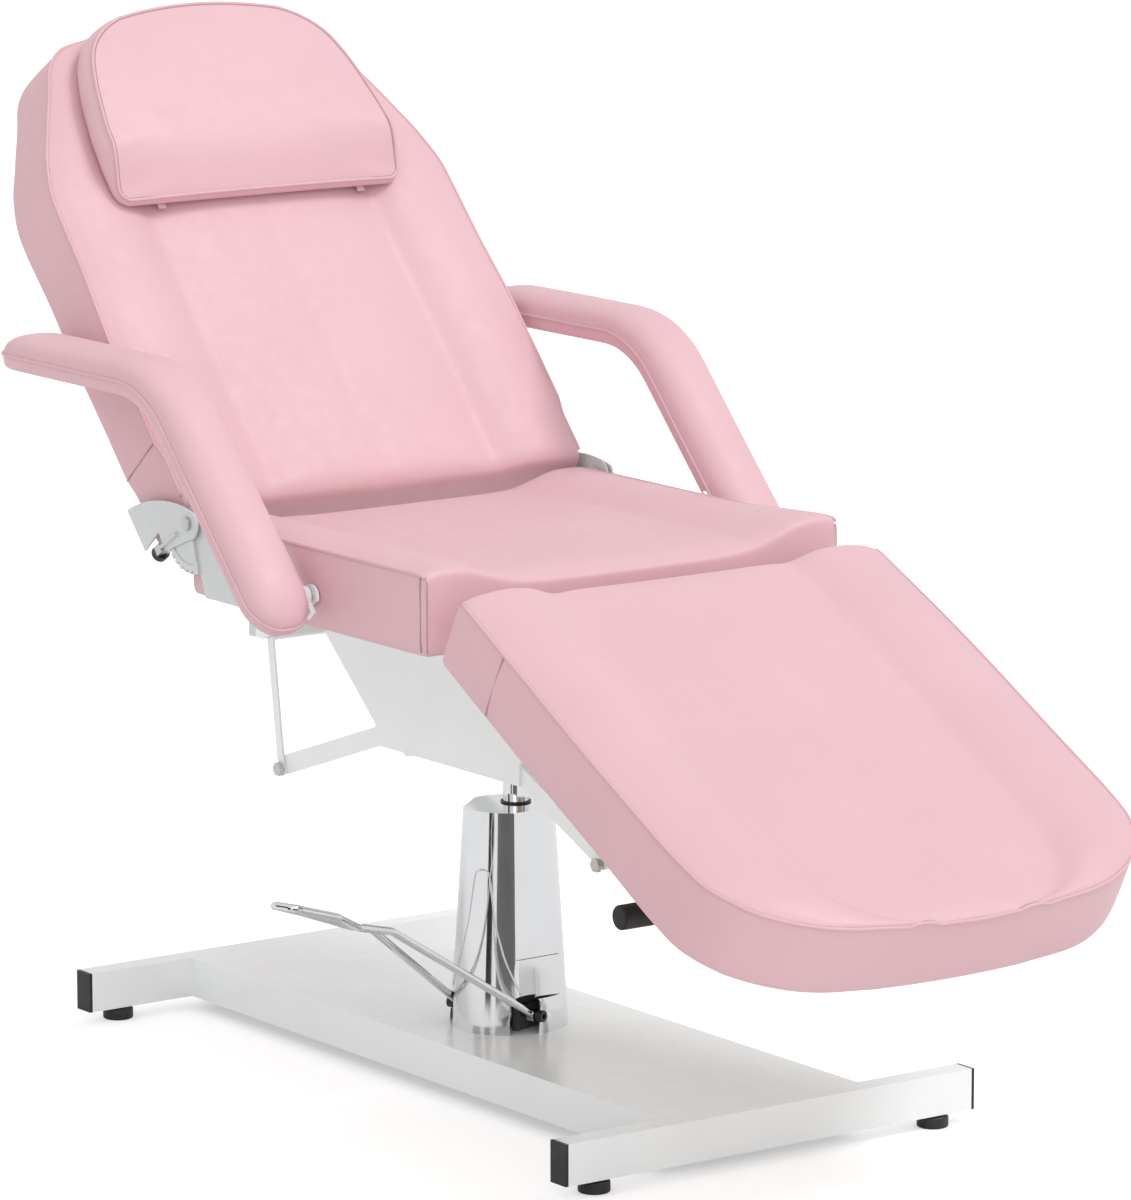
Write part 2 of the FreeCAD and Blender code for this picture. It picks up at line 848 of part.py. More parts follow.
def make_shroud():
    outline = [("shroud_foot_rear", "shroud_foot"), ("shroud_foot_rear", "shroud_foot + shroud_step"),
               ("shroud_shoulder_y", "shroud_shoulder_z"), ("shroud_shoulder_y", HUB_TOP),
               (minus("shroud_shoulder_y"), HUB_TOP), (minus("shroud_shoulder_y"), "shroud_shoulder_z"),
               (minus("shroud_foot_front"), "shroud_foot + shroud_step"),
               (minus("shroud_foot_front"), "shroud_foot")]
    for name, sign in SIDES:
        body = new_body("shroud_" + name, "base")
        pad(body, "YZ", [outline], *side_span(sign, "shroud_inner", "shroud_inner + shroud_thick"))
    webs = new_body("shroud_webs", "base")
    for side in (-1, 1):
        near = "column_y + %d * web_reach" % side
        far = near + " + %d * web_thick" % side
        span = (near, far) if side > 0 else (far, near)
        half = "shroud_inner - arm_thick - web_play"
        pad(webs, "XZ", [rectangle(minus(half), half, "web_foot", HUB_TOP)], *span)


def arm_outline():
    """One shallow inverted V, with its two ends lower than its middle."""
    half = "under_arm_depth / 2"
    return [("rear_bolt_y + %s" % half, "arm_bolt_z - %s" % half),
            ("rear_bolt_y + %s" % half, "arm_bolt_z + %s" % half),
            ("arm_corner_rear", "arm_corner_z + %s" % half),
            ("-arm_corner_front", "arm_corner_z + %s" % half),
            ("-front_bolt_y - %s" % half, "arm_bolt_z + %s" % half),
            ("-front_bolt_y - %s" % half, "arm_bolt_z - %s" % half),
            ("-arm_corner_front", "arm_corner_z - %s" % half),
            ("arm_corner_rear", "arm_corner_z - %s" % half)]


def make_under_arms():
    spots = (("rear_bolt_y", "arm_bolt_z"), ("-front_bolt_y", "arm_bolt_z"))
    for name, sign in SIDES:
        body = new_body("under_arm_" + name, "base")
        span = side_span(sign, "shroud_inner - arm_thick", "shroud_inner")
        pad(body, "YZ", [arm_outline()], *span)
        reach = value("front_bolt_y")
        fillet(body, lambda edge: is_arm_end(edge, reach), "under_arm_depth * arm_round_share")
        cut(body, "YZ", [spot + ("bolt_radius",) for spot in spots], *span)


def is_arm_end(edge, reach):
    """The short edges along X at the two outer ends of an under-arm."""
    run = edge.tangentAt(edge.FirstParameter)
    return abs(run.x) > abs(run.y) + abs(run.z) and abs(edge.BoundBox.Center.y) > reach


def make_arm_bolts():
    spots = (("rear_bolt_y", "arm_bolt_z"), ("-front_bolt_y", "arm_bolt_z"))
    body = new_body("arm_bolts", "base")
    inner = "shroud_inner - arm_thick"
    outer = "shroud_inner + stay_gap * 2 + stay_thick"
    for sign in (-1, 1):
        pad(body, "YZ", [spot + ("bolt_radius",) for spot in spots], *side_span(sign, inner, outer))
        heads = [hexagon(spot[0], spot[1], "bolt_head_radius") for spot in spots]
        pad(body, "YZ", heads, *side_span(sign, outer, outer + " + bolt_head"))


def make_rear_stay():
    body = new_body("rear_stay", "base")
    turn = "stay_angle * 1 deg"
    half = "stay_width / 2"
    top = ("rear_bolt_y + stay_length * cos(%s)" % turn, "arm_bolt_z + stay_length * sin(%s)" % turn)
    spot = ("rear_bolt_y", "arm_bolt_z")
    across = ("%s * sin(%s)" % (half, turn), "%s * cos(%s)" % (half, turn))
    strip = [("%s - %s" % (spot[0], across[0]), "%s + %s" % (spot[1], across[1])),
             ("%s + %s" % (spot[0], across[0]), "%s - %s" % (spot[1], across[1])),
             ("%s + %s" % (top[0], across[0]), "%s - %s" % (top[1], across[1])),
             ("%s - %s" % (top[0], across[0]), "%s + %s" % (top[1], across[1]))]
    inner = "shroud_inner + stay_gap"
    outer = "shroud_inner + stay_gap + stay_thick"
    pad(body, "YZ", [top + ("stay_bar_radius",)], minus(outer), outer)
    for sign in (-1, 1):
        span = side_span(sign, inner, outer)
        pad(body, "YZ", [strip], *span)
        pad(body, "YZ", [spot + ("stay_eye_radius",)], *span)
        cut(body, "YZ", [spot + ("bolt_radius + bolt_play",)], *span)


# seat

def section(half, foot, side_top, crest_x, crest, dip_x, dip, middle):
    """A cushion's cross-section: drawn-in sides, two raised borders and a hollowed middle."""
    low_half = "(%s) - side_draw" % half
    waist = "(%s) + side_bulge" % half
    top_half = "(%s) - side_lip" % half
    waist_z = "((%s) + (%s)) / 2" % (foot, side_top)
    return [(minus(low_half), foot), (low_half, foot),
            (waist, waist_z, top_half, side_top),
            (crest_x, crest, dip_x, dip),
            ("0", middle, minus(dip_x), dip),
            (minus(crest_x), crest, minus(top_half), side_top),
            (minus(waist), waist_z, minus(low_half), foot)]


def loft(body, stations):
    """Runs through cross-sections that stand square to Y."""
    sketches = []
    for start, outline in stations:
        sketch = new_sketch(body, "XZ", start)
        draw_path(sketch, outline[:-1], closed=False)
        close_last(sketch, outline)
        doc.recompute()
        sketches.append(sketch)
    feature = body.newObject("PartDesign::AdditiveLoft", body.Name + "_loft")
    feature.Profile = sketches[0]
    feature.Sections = sketches[1:]
    feature.Ruled = True
    doc.recompute()
    return feature


def close_last(sketch, outline):
    """Adds the arc that brings a section back to its first corner."""
    last = outline[-1]
    before = outline[-2][-2:]
    start = FreeCAD.Vector(value(before[0]), value(before[1]), 0)
    via = FreeCAD.Vector(value(last[0]), value(last[1]), 0)
    finish = FreeCAD.Vector(value(last[2]), value(last[3]), 0)
    edge = sketch.addGeometry(Part.Arc(start, via, finish), False)
    forward = (sketch.getPoint(edge, 1) - start).Length < (sketch.getPoint(edge, 2) - start).Length
    begin, end = (1, 2) if forward else (2, 1)
    bind_point(sketch, edge, begin, *before)
    bind_point(sketch, edge, end, last[2], last[3])
    mark = sketch.addGeometry(Part.Point(via), True)
    bind_point(sketch, mark, 1, last[0], last[1])
    sketch.addConstraint(Sketcher.Constraint("PointOnObject", mark, 1, edge))


def seat_section(half, drop):
    return section(half, "seat_foot", "seat_side_top - (%s)" % drop, "seat_crest_x",
                   "seat_crest - (%s)" % drop, "seat_dip_x", "seat_dip - (%s)" % drop,
                   "seat_middle - (%s)" % drop)


def make_seat():
    """A plywood board let into the underside of the cushion, whose cover is drawn round it."""
    edge = "seat_half - board_inset"
    block("seat_board", "base", (minus(edge), edge),
          ("board_inset - seat_front", "seat_rear - board_inset"), ("seat_foot", "seat_foot + board_thick"))
    body = new_body("seat_cushion", "base")
    recess = rectangle(minus(added(edge, "board_play")), added(edge, "board_play"),
                       "board_inset - board_play - seat_front", "seat_rear - board_inset + board_play")
    loft(body, [(minus("seat_front"), seat_section("seat_half - side_lip", "front_drop")),
                ("front_roll - seat_front", seat_section("seat_half", "0")),
                ("seat_rear - rear_relief", seat_section("seat_half", "0")),
                ("seat_rear - rear_roll", seat_section("seat_half - rear_relief_depth", "0")),
                ("seat_rear", seat_section("seat_half - rear_relief_depth - side_lip", "rear_drop"))])
    cut(body, "XY", [recess], "seat_foot - board_play", "seat_foot + board_thick + board_play")


def make_seat_frame():
    """Two lengthwise tubes between two cross tubes, the rear one reaching both sides."""
    body = new_body("seat_frame", "base")
    low, high = "seat_foot - rail_height", "seat_foot"
    for sign in (-1, 1):
        span = side_span(sign, "rail_x - rail_width / 2", "rail_x + rail_width / 2")
        tube = rectangle(span[0], span[1], low, high)
        pad(body, "XZ", [tube], minus("rail_front"), "rail_rear")
    cross = rectangle("-cross_front_y", "rail_width - cross_front_y", low, high)
    pad(body, "YZ", [cross], minus("lug_x"), "lug_x")
    cross = rectangle("cross_rear_y - rail_width", "cross_rear_y", low, high)
    pad(body, "YZ", [cross], minus("cross_rear_half"), "cross_rear_half")
    for sign in (-1, 1):
        span = side_span(sign, "rail_x - rail_width / 2 + rail_wall", "rail_x + rail_width / 2 - rail_wall")
        hollow = rectangle(span[0], span[1], added(low, "rail_wall"), high + " - rail_wall")
        cut(body, "XZ", [hollow], minus("rail_front"), "rail_rear")
    for back in ("rail_width - cross_front_y", "cross_rear_y"):
        hollow = rectangle("%s - rail_width + rail_wall" % back, "%s - rail_wall" % back,
                           added(low, "rail_wall"), high + " - rail_wall")
        half = "lug_x" if "front" in back else "cross_rear_half"
        cut(body, "YZ", [hollow], minus(half), half)


# back hinge

def around_hinge(radius, turn):
    """A point at a radius from the hinge, at degrees below the head-ward level."""
    return ("hinge_y + (%s) * cos((%s) * 1 deg)" % (radius, turn),
            "hinge_z - (%s) * sin((%s) * 1 deg)" % (radius, turn))


def make_seat_hinge_plates():
    rail_low = "seat_foot - rail_height"
    nose = "plate_nose"
    outline = [("hinge_y - plate_rear_reach", "seat_foot + plate_thick"),
               ("cross_rear_y", "seat_foot + plate_thick"),
               ("cross_rear_y", rail_low), ("cross_rear_y - rail_width / 2", rail_low),
               ("cross_rear_y - rail_width / 2", "seat_foot + rail_height"),
               ("hinge_y - plate_nose", "hinge_z"),
               ("hinge_y", "hinge_z + plate_nose", "hinge_y + plate_nose", "hinge_z"),
               ("hinge_y - plate_thick", "hinge_z - plate_hook_drop")]
    for name, sign in SIDES:
        body = new_body("seat_hinge_plate_" + name, "base")
        span = side_span(sign, "plate_inner", "plate_inner + plate_thick")
        pad(body, "YZ", [outline], *span)
        cut(body, "YZ", [("hinge_y", "hinge_z", "pivot_radius")], *span)


def make_sectors():
    """Toothed quarter plates, centred on the hinge, with a stepped rim."""
    inner = "plate_inner + plate_thick"
    outer = inner + " + sector_thick"
    middle_turn = "(sector_upper_turn + sector_lower_turn) / 2"
    for name, sign in SIDES:
        body = new_body("hinge_sector_" + name, "base")
        span = side_span(sign, inner, outer)
        rim = [around_hinge("sector_radius", "sector_upper_turn"),
               around_hinge("sector_radius", middle_turn)
               + around_hinge("sector_radius", "sector_lower_turn"),
               around_hinge("sector_eye", "sector_lower_turn"),
               around_hinge("sector_eye", middle_turn) + around_hinge("sector_eye", "sector_upper_turn")]
        pad(body, "YZ", [rim], *span)
        face = side_span(sign, outer + " - sector_step", outer)
        step = [around_hinge("sector_step_radius", "sector_upper_turn"),
                around_hinge("sector_step_radius", middle_turn)
                + around_hinge("sector_step_radius", "sector_lower_turn"),
                around_hinge("sector_step_radius - tooth_depth", "sector_lower_turn"),
                around_hinge("sector_step_radius - tooth_depth", middle_turn)
                + around_hinge("sector_step_radius - tooth_depth", "sector_upper_turn")]
        cut(body, "YZ", [step], *face)
        notches = []
        for number in range(1, NOTCH_COUNT + 1):
            turn = "sector_upper_turn + tooth_turn * %d" % number
            tip = "sector_radius + tooth_depth"
            notches.append([around_hinge(tip, turn + " - tooth_half"),
                            around_hinge(tip, turn + " + tooth_half"),
                            around_hinge("sector_radius - tooth_depth", turn + " + tooth_half / 2"),
                            around_hinge("sector_radius - tooth_depth", turn + " - tooth_half / 2")])
        cut(body, "YZ", notches, *span)


def make_back_pivots():
    body = new_body("back_pivot_bolts", "base")
    spot = ("hinge_y", "hinge_z")
    outer = "plate_inner + plate_thick + sector_thick + link_gap * 2 + link_thick"
    for sign in (-1, 1):
        pad(body, "YZ", [spot + ("pivot_radius",)], *side_span(sign, "plate_inner", outer))
        pad(body, "YZ", [spot + ("pivot_head_radius",)], *side_span(sign, outer, outer + " + pivot_head"))


# the hinge as the back rest sees it, in the back's own directions
HINGE_S = "(hinge_y - back_y) * cos(back_angle * 1 deg) + (hinge_z - back_z) * sin(back_angle * 1 deg)"
HINGE_N = "(hinge_z - back_z) * cos(back_angle * 1 deg) - (hinge_y - back_y) * sin(back_angle * 1 deg)"


def from_pivot(radius, turn):
    """A point at a radius from the hinge, at degrees behind the back's own length."""
    return ("%s + (%s) * cos((%s) * 1 deg)" % (HINGE_S, radius, turn),
            "%s - (%s) * sin((%s) * 1 deg)" % (HINGE_N, radius, turn))


LINK_INNER = "plate_inner + plate_thick + sector_thick + link_gap"


def make_back_links():
    """The plates that turn with the back rest, each with a rib along its lower edge."""
    rear = "cushion_depth + link_bar_thick"
    outline = [("link_root", minus(rear)),
               ("plate_nose", "-plate_nose", "%s" % HINGE_S, "%s + plate_nose" % HINGE_N),
               ("%s - plate_nose" % HINGE_S, HINGE_N,
                "%s" % from_pivot("plate_nose", "plunger_angle + link_round_angle")[0],
                "%s" % from_pivot("plate_nose", "plunger_angle + link_round_angle")[1]),
               *strip_from_pivot("rib_start", "housing_start", "housing_half")[1:3],
               ("link_heel_s", "-link_heel_depth"), ("link_heel_s", minus(rear))]
    for name, sign in SIDES:
        body = new_body("back_link_" + name, "back")
        span = side_span(sign, LINK_INNER, LINK_INNER + " + link_thick")
        pad(body, "YZ", [outline], *span)
        rib_span = side_span(sign, LINK_INNER + " + link_thick", LINK_INNER + " + link_thick + rib_width")
        pad(body, "YZ", [strip_from_pivot("rib_start", "housing_start", "link_thick / 2")], *rib_span)
        cut(body, "YZ", [(HINGE_S, HINGE_N, "pivot_radius + pivot_play")], *span)


def strip_from_pivot(start, end, half):
    """A narrow strip that lies along the plunger's radius."""
    turn = "(plunger_angle * 1 deg)"
    corners = []
    for distance, side in ((start, -1), (end, -1), (end, 1), (start, 1)):
        along = HINGE_S, distance, turn, side, half, turn
        across = HINGE_N, distance, turn, side, half, turn
        corners.append(("%s + (%s) * cos%s + %d * (%s) * sin%s" % along,
                        "%s - (%s) * sin%s + %d * (%s) * cos%s" % across))
    return corners


def along_plunger(name, sign, parts):
    """Round pieces strung on the plunger's own line, each (radius, start, end)."""
    centre = "plate_inner + plate_thick + sector_thick / 2"
    fused = []
    for index, (radius, start, end) in enumerate(parts):
        piece = doc.addObject("Part::Cylinder", "%s_%d" % (name, index))
        aim_along_plunger(piece, sign, centre, radius, start, end)
        fused.append(piece)
    result = doc.addObject("Part::MultiFuse", name)
    result.Shapes = fused
    result.Label = name
    place(result, "back")
    doc.recompute()
    return result


def aim_along_plunger(piece, sign, centre, radius, start, end):
    turn = "(plunger_angle * 1 deg)"
    piece.setExpression("Radius", bound(radius))
    piece.setExpression("Height", bound("(%s) - (%s)" % (end, start)))
    angle = "90 + plunger_angle"
    piece.Placement = FreeCAD.Placement(FreeCAD.Vector(0, 0, 0),
                                        FreeCAD.Rotation(FreeCAD.Vector(-1, 0, 0), value(angle)))
    piece.setExpression("Placement.Rotation.Angle", bound(angle))
    piece.setExpression("Placement.Base.x", bound("%d * (%s)" % (sign, centre)))
    piece.setExpression("Placement.Base.y", bound("%s + (%s) * cos%s" % (HINGE_S, start, turn)))
    piece.setExpression("Placement.Base.z", bound("%s - (%s) * sin%s" % (HINGE_N, start, turn)))


def make_plungers():
    centre = "plate_inner + plate_thick + sector_thick / 2"
    for name, sign in SIDES:
        along_plunger("lock_plunger_" + name, sign,
                      [("plunger_radius", "plunger_tip", "knob_start"),
                       ("knob_radius", "knob_start", "knob_end"),
                       ("plunger_radius - link_gap", "knob_end - link_gap", "knob_end + link_gap")])
        housing = new_body("plunger_housing_" + name, "own")
        span = side_span(sign, "plate_inner + link_gap", LINK_INNER + " + link_thick + rib_width")
        pad(housing, "YZ", [strip_from_pivot("housing_start", "housing_end", "housing_half")], *span)
        drill = doc.addObject("Part::Cylinder", "plunger_drill_" + name)
        aim_along_plunger(drill, sign, centre, "plunger_radius + plunger_play",
                          "housing_start - plunger_radius", "housing_end + plunger_radius")
        bored = doc.addObject("Part::Cut", "plunger_sleeve_" + name)
        bored.Label = "plunger_sleeve_" + name
        bored.Base = housing
        bored.Tool = drill
        place(bored, "back")
        doc.recompute()


# back rest

def soft_section(half, depth, drop):
    """A cross-section of the back or leg cushion, measured from its front face."""
    crest_x = "(%s) * crest_share" % half
    dip_x = "(%s) * crease_share" % half
    return section(half, minus(depth), "-soft_side - (%s)" % drop, crest_x, "soft_crest - (%s)" % drop,
                   dip_x, "-soft_dip - (%s)" % drop, "-soft_middle - (%s)" % drop)


def cut_recess(body, outline):
    """Makes room for a board in a cushion's underside."""
    cut(body, "XY", [outline], "-cushion_depth - board_play", "board_thick + board_play - cushion_depth")


def back_board_outline(inset):
    """The board follows the cushion's outline, drawn in by an inset."""
    marks = [("back_full_half", "back_full"), ("back_shoulder_half", "back_shoulder"),
             ("back_corner_half", "back_corner"), ("back_top_half", "back_top")]
    side = [("%s - (%s)" % (half, inset), "%s - (%s)" % (along, inset)) for half, along in marks]
    mirror = [(minus(across), along) for across, along in side]
    edge = "back_half - (%s)" % inset
    return [(minus(edge), inset), (edge, inset)] + side + mirror[::-1]


def leg_board_outline(inset):
    marks = [("leg_wide_half", "leg_full"), ("leg_bow_half", "leg_bow"), ("leg_corner_half", "leg_corner"),
             ("leg_end_half", "leg_end")]
    side = [("%s - (%s)" % (half, inset), "(%s) - %s" % (inset, along)) for half, along in marks]
    mirror = [(minus(across), along) for across, along in side]
    edge = "leg_half - (%s)" % inset
    return [(edge, "-(%s)" % inset), (minus(edge), "-(%s)" % inset)] + mirror + side[::-1]


def make_back():
    depth = "cushion_depth"
    body = new_body("back_cushion", "back")
    loft(body, [("0", soft_section("back_half - side_lip", depth, "soft_drop")),
                ("soft_roll", soft_section("back_half", depth, "0")),
                ("back_clear", soft_section("back_half", depth, "0")),
                ("back_wide", soft_section("back_wide_half", depth, "0")),
                ("back_hold", soft_section("back_wide_half", depth, "0")),
                ("back_waist", soft_section("back_waist_half", depth, "0")),
                ("back_full", soft_section("back_full_half", depth, "0")),
                ("back_bend", soft_section("back_bend_half", depth, "0")),
                ("back_shoulder", soft_section("back_shoulder_half", depth, "0")),
                ("back_slope", soft_section("back_slope_half", depth, "0")),
                ("back_corner", soft_section("back_corner_half", depth, "soft_drop / 2")),
                ("back_top", soft_section("back_top_half", depth, "soft_drop * 2"))])
    cut_recess(body, back_board_outline("board_inset - board_play"))
    board = new_body("back_board", "back")
    pad(board, "XY", [back_board_outline("board_inset")],
        minus("cushion_depth"), minus("cushion_depth - board_thick"))
    make_link_bar()


def make_link_bar():
    """A flat bar across the back of the board, whose ends carry the hinge links."""
    bar = new_body("back_link_bar", "back")
    outline = rectangle("spacer_s", "spacer_e", "-cushion_depth - link_bar_thick", "-cushion_depth")
    pad(bar, "YZ", [outline], minus(LINK_INNER), LINK_INNER)


def make_back_frame():
    """A ladder of square tube screwed behind the back rest's board."""
    make_ladder("back_frame", "back", "back_rail_x", ("back_frame_foot", "back_frame_top"),
                ("back_frame_foot", "back_frame_top - tube_side"))


def make_ladder(name, zone, rail, ends, rungs):
    body = new_body(name, zone)
    low, high = "-cushion_depth - tube_side", "-cushion_depth"
    for sign in (-1, 1):
        span = side_span(sign, "%s - tube_side / 2" % rail, "%s + tube_side / 2" % rail)
        pad(body, "XZ", [rectangle(span[0], span[1], low, high)], *ends)
    half = "%s - tube_side / 2" % rail
    for start in rungs:
        pad(body, "YZ", [rectangle(start, "%s + tube_side" % start, low, high)], minus(half), half)
    for sign in (-1, 1):
        span = side_span(sign, "%s - tube_side / 2 + tube_wall" % rail,
                         "%s + tube_side / 2 - tube_wall" % rail)
        cut(body, "XZ", [rectangle(span[0], span[1], added(low, "tube_wall"), high + " - tube_wall")], *ends)
    return body


def make_pillow():
    """A D-shaped head pillow that leans on the top of the back cushion."""
    body = new_body("head_pillow", "back")
    half = "pillow_half"
    foot_x = "pillow_half - pillow_foot_round"
    foot_s = "pillow_foot + pillow_foot_round"
    side_s = "pillow_foot + pillow_side_rise"
    shoulder_s = "pillow_foot + pillow_shoulder_rise"
    bow_x = "(pillow_half + pillow_shoulder_x) / 2 + pillow_bow"
    bow_s = "pillow_foot + (pillow_side_rise + pillow_shoulder_rise) / 2 + pillow_bow"
    outline = [(minus(foot_x), "pillow_foot"), (foot_x, "pillow_foot"), (half, foot_s), (half, side_s),
               (bow_x, bow_s, "pillow_shoulder_x", shoulder_s),
               ("0", "pillow_foot + pillow_rise", "-pillow_shoulder_x", shoulder_s),
               (minus(bow_x), bow_s, minus(half), side_s), (minus(half), foot_s)]
    top = "pillow_gap + pillow_thick"
    pad(body, "XY", [outline], "pillow_gap", top)
    wedge = [("pillow_foot + pillow_crease_rise", top), ("pillow_foot - pillow_lip", top),
             ("pillow_foot - pillow_lip", "pillow_gap"), ("pillow_foot", "pillow_lip")]
    cut(body, "YZ", [wedge], minus(half), half)
    straps = new_body("pillow_straps", "back")
    for sign in (-1, 1):
        span = side_span(sign, "strap_x - strap_width / 2", "strap_x + strap_width / 2")
        low = "pillow_foot + strap_start"
        tab = rectangle(low, "%s + strap_length" % low, "pillow_gap - strap_thick", "pillow_gap")
        pad(straps, "YZ", [tab], *span)


# leg rest

def make_leg_rest():
    depth = "cushion_depth"
    body = new_body("leg_cushion", "leg")
    loft(body, [("0", soft_section("leg_half - side_lip", depth, "soft_drop")),
                ("-soft_roll", soft_section("leg_half", depth, "0")),
                ("-leg_wide", soft_section("leg_wide_half", depth, "0")),
                ("-leg_full", soft_section("leg_wide_half", depth, "0")),
                ("-leg_bend", soft_section("leg_bend_half", depth, "0")),
                ("-leg_bow", soft_section("leg_bow_half", depth, "0")),
                ("-leg_corner", soft_section("leg_corner_half", depth, "0")),
                ("-leg_tip", soft_section("leg_tip_half", depth, "soft_drop / 2")),
                ("-leg_end", soft_section("leg_end_half", depth, "soft_drop * 2"))])
    cut_recess(body, leg_board_outline("board_inset - board_play"))
    board = new_body("leg_board", "leg")
    pad(board, "XY", [leg_board_outline("board_inset")],
        minus("cushion_depth"), minus("cushion_depth - board_thick"))
    make_ladder("leg_frame", "leg", "leg_rail_x", ("-leg_frame_end", "-leg_frame_rear"),
                ("-leg_frame_end", "-leg_cross_mid - tube_side / 2", "-leg_frame_rear - tube_side"))


def leg_arm_outline():
    """From the frame's rail down to the pivot below it."""
    rail = "-cushion_depth - tube_side"
    return [("-leg_frame_rear - leg_arm_root", rail), ("-leg_frame_rear", rail),
            ("leg_pivot_s + leg_eye_radius", "-leg_pivot_depth"),
            ("leg_pivot_s", "-leg_pivot_depth - leg_eye_radius",
             "leg_pivot_s - leg_eye_radius", "-leg_pivot_depth")]


def make_leg_hinge():
    arms = new_body("leg_hinge_arms", "leg")
    inner = "lug_x + hinge_lug_thick + leg_arm_gap"
    spot = ("leg_pivot_s", "-leg_pivot_depth")
    for sign in (-1, 1):
        span = side_span(sign, inner, inner + " + leg_arm_thick")
        pad(arms, "YZ", [leg_arm_outline()], *span)
        cut(arms, "YZ", [spot + ("leg_pin_radius + leg_pin_play",)], *span)
    y, z = leg_pivot()
    lugs = new_body("leg_hinge_lugs", "base")
    low = "seat_foot - rail_height"
    outline = [("rail_width - cross_front_y", low), ("rail_width - cross_front_y", "seat_foot"),
               ("-cross_front_y", "seat_foot"),
               ("%s - leg_eye_radius" % y, z),
               (y, "%s - leg_eye_radius" % z, "%s + leg_eye_radius" % y, z)]
    pins = new_body("leg_hinge_pins", "base")
    for sign in (-1, 1):
        span = side_span(sign, "lug_x", "lug_x + hinge_lug_thick")
        pad(lugs, "YZ", [outline], *span)
        cut(lugs, "YZ", [(y, z, "leg_pin_radius")], *span)
        pad(pins, "YZ", [(y, z, "leg_pin_radius")],
            *side_span(sign, "lug_x", inner + " + leg_arm_thick + leg_arm_gap"))
        pad(pins, "YZ", [(y, z, "leg_pin_head")],
            *side_span(sign, inner + " + leg_arm_thick + leg_arm_gap", inner + " + leg_arm_thick * 2"))


def leg_pivot():
    """The leg rest's pivot in the seat's directions."""
    turn = "(leg_angle * 1 deg)"
    return ("leg_y + leg_pivot_s * cos%s + leg_pivot_depth * sin%s" % (turn, turn),
            "leg_z + leg_pivot_s * sin%s - leg_pivot_depth * cos%s" % (turn, turn))


def make_release_lever():
    """A cranked rod under the leg rest, with a round grip at the sitter's right."""
    mid = "-leg_cross_mid"
    spot = ("-release_pivot_x", "-release_depth")
    lever = new_body("release_lever", "leg")
    eye = ("%s - release_eye" % mid, "%s + release_eye" % mid)
    pad(lever, "XZ", [spot + ("release_eye",)], *eye)
    pad(lever, "YZ", [(mid, "-release_depth", "release_radius")], "-release_end + release_radius",
        "-release_pivot_x")
    cut(lever, "XZ", [spot + ("release_pin + release_play",)], *eye)
    grip = new_body("release_grip", "leg")
    spot_x = (mid, "-release_depth")
    pad(grip, "YZ", [spot_x + ("grip_radius",)], "-release_end", "grip_length - release_end")
    fillet(grip, lambda edge: edge.Length > value("grip_radius + release_radius") * math.pi, "grip_edge")
    cut(grip, "YZ", [spot_x + ("release_radius",)],
        "-release_end + release_radius", "grip_length - release_end")
    bracket = new_body("release_bracket", "leg")
    low = "-release_depth - bracket_half"
    high = "-cushion_depth - tube_side"
    for side in (-1, 1):
        near = "%s + %d * (release_eye + bracket_gap)" % (mid, side)
        far = near + " + %d * bracket_thick" % side
        span = (near, far) if side > 0 else (far, near)
        pad(bracket, "XZ",
            [rectangle("-release_pivot_x - bracket_half", "bracket_half - release_pivot_x", low, high)], *span)
    reach = "release_eye + bracket_gap + bracket_thick"
    pad(bracket, "XZ", [spot + ("release_pin",)], "%s - %s" % (mid, reach.replace(" + ", " - ")),
        "%s + %s" % (mid, reach))


# arm rests

def knee_mark(offset, which):
    """Points of the arm rest's line: the two ends of its bend and the middle of the bend."""
    tangent = "arm_bend * tan(arm_slope / 2 * 1 deg)"
    centre_y = "arm_knee_y + %s" % tangent
    centre_z = "arm_top_z - arm_bend"
    share = {"start": "0", "middle": "arm_slope / 2", "end": "arm_slope"}[which]
    return ("%s - (arm_bend + (%s)) * sin(%s * 1 deg)" % (centre_y, offset, share),
            "%s + (arm_bend + (%s)) * cos(%s * 1 deg)" % (centre_z, offset, share))


def post_mark(offset, distance):
    """A point along the arm rest's post, at a distance below the end of the bend."""
    start = knee_mark(offset, "end")
    turn = "(arm_slope * 1 deg)"
    return ("%s - (%s) * cos%s" % (start[0], distance, turn),
            "%s - (%s) * sin%s" % (start[1], distance, turn))


def arm_pivot():
    """The pivot's place, a little below the pad's line near its lower end."""
    return post_mark("-arm_pivot_below", "arm_post - arm_pivot_from_end")


def make_arm_pads():
    for name, sign in SIDES:
        body = new_body("armrest_pad_" + name, "base")
        centre = "%d * arm_x" % sign
        spine = new_sketch(body, "YZ", centre)
        draw_path(spine, [("arm_head_y", "arm_top_z"), knee_mark("0", "start"),
                          knee_mark("0", "middle") + knee_mark("0", "end"),
                          post_mark("0", "arm_post")], closed=False)
        profile = new_sketch(body, "XZ", "arm_head_y")
        left, right = "%s - arm_half" % centre, "%s + arm_half" % centre
        low = "arm_top_z - arm_band"
        draw(profile, [[(left, low), (right, low), (right, "arm_top_z"),
                        (centre, "arm_top_z + arm_crown", left, "arm_top_z")]])
        pipe = body.newObject("PartDesign::AdditivePipe", body.Name + "_pipe")
        pipe.Profile = profile
        pipe.Spine = (spine, ["Edge1", "Edge2", "Edge3"])
        doc.recompute()


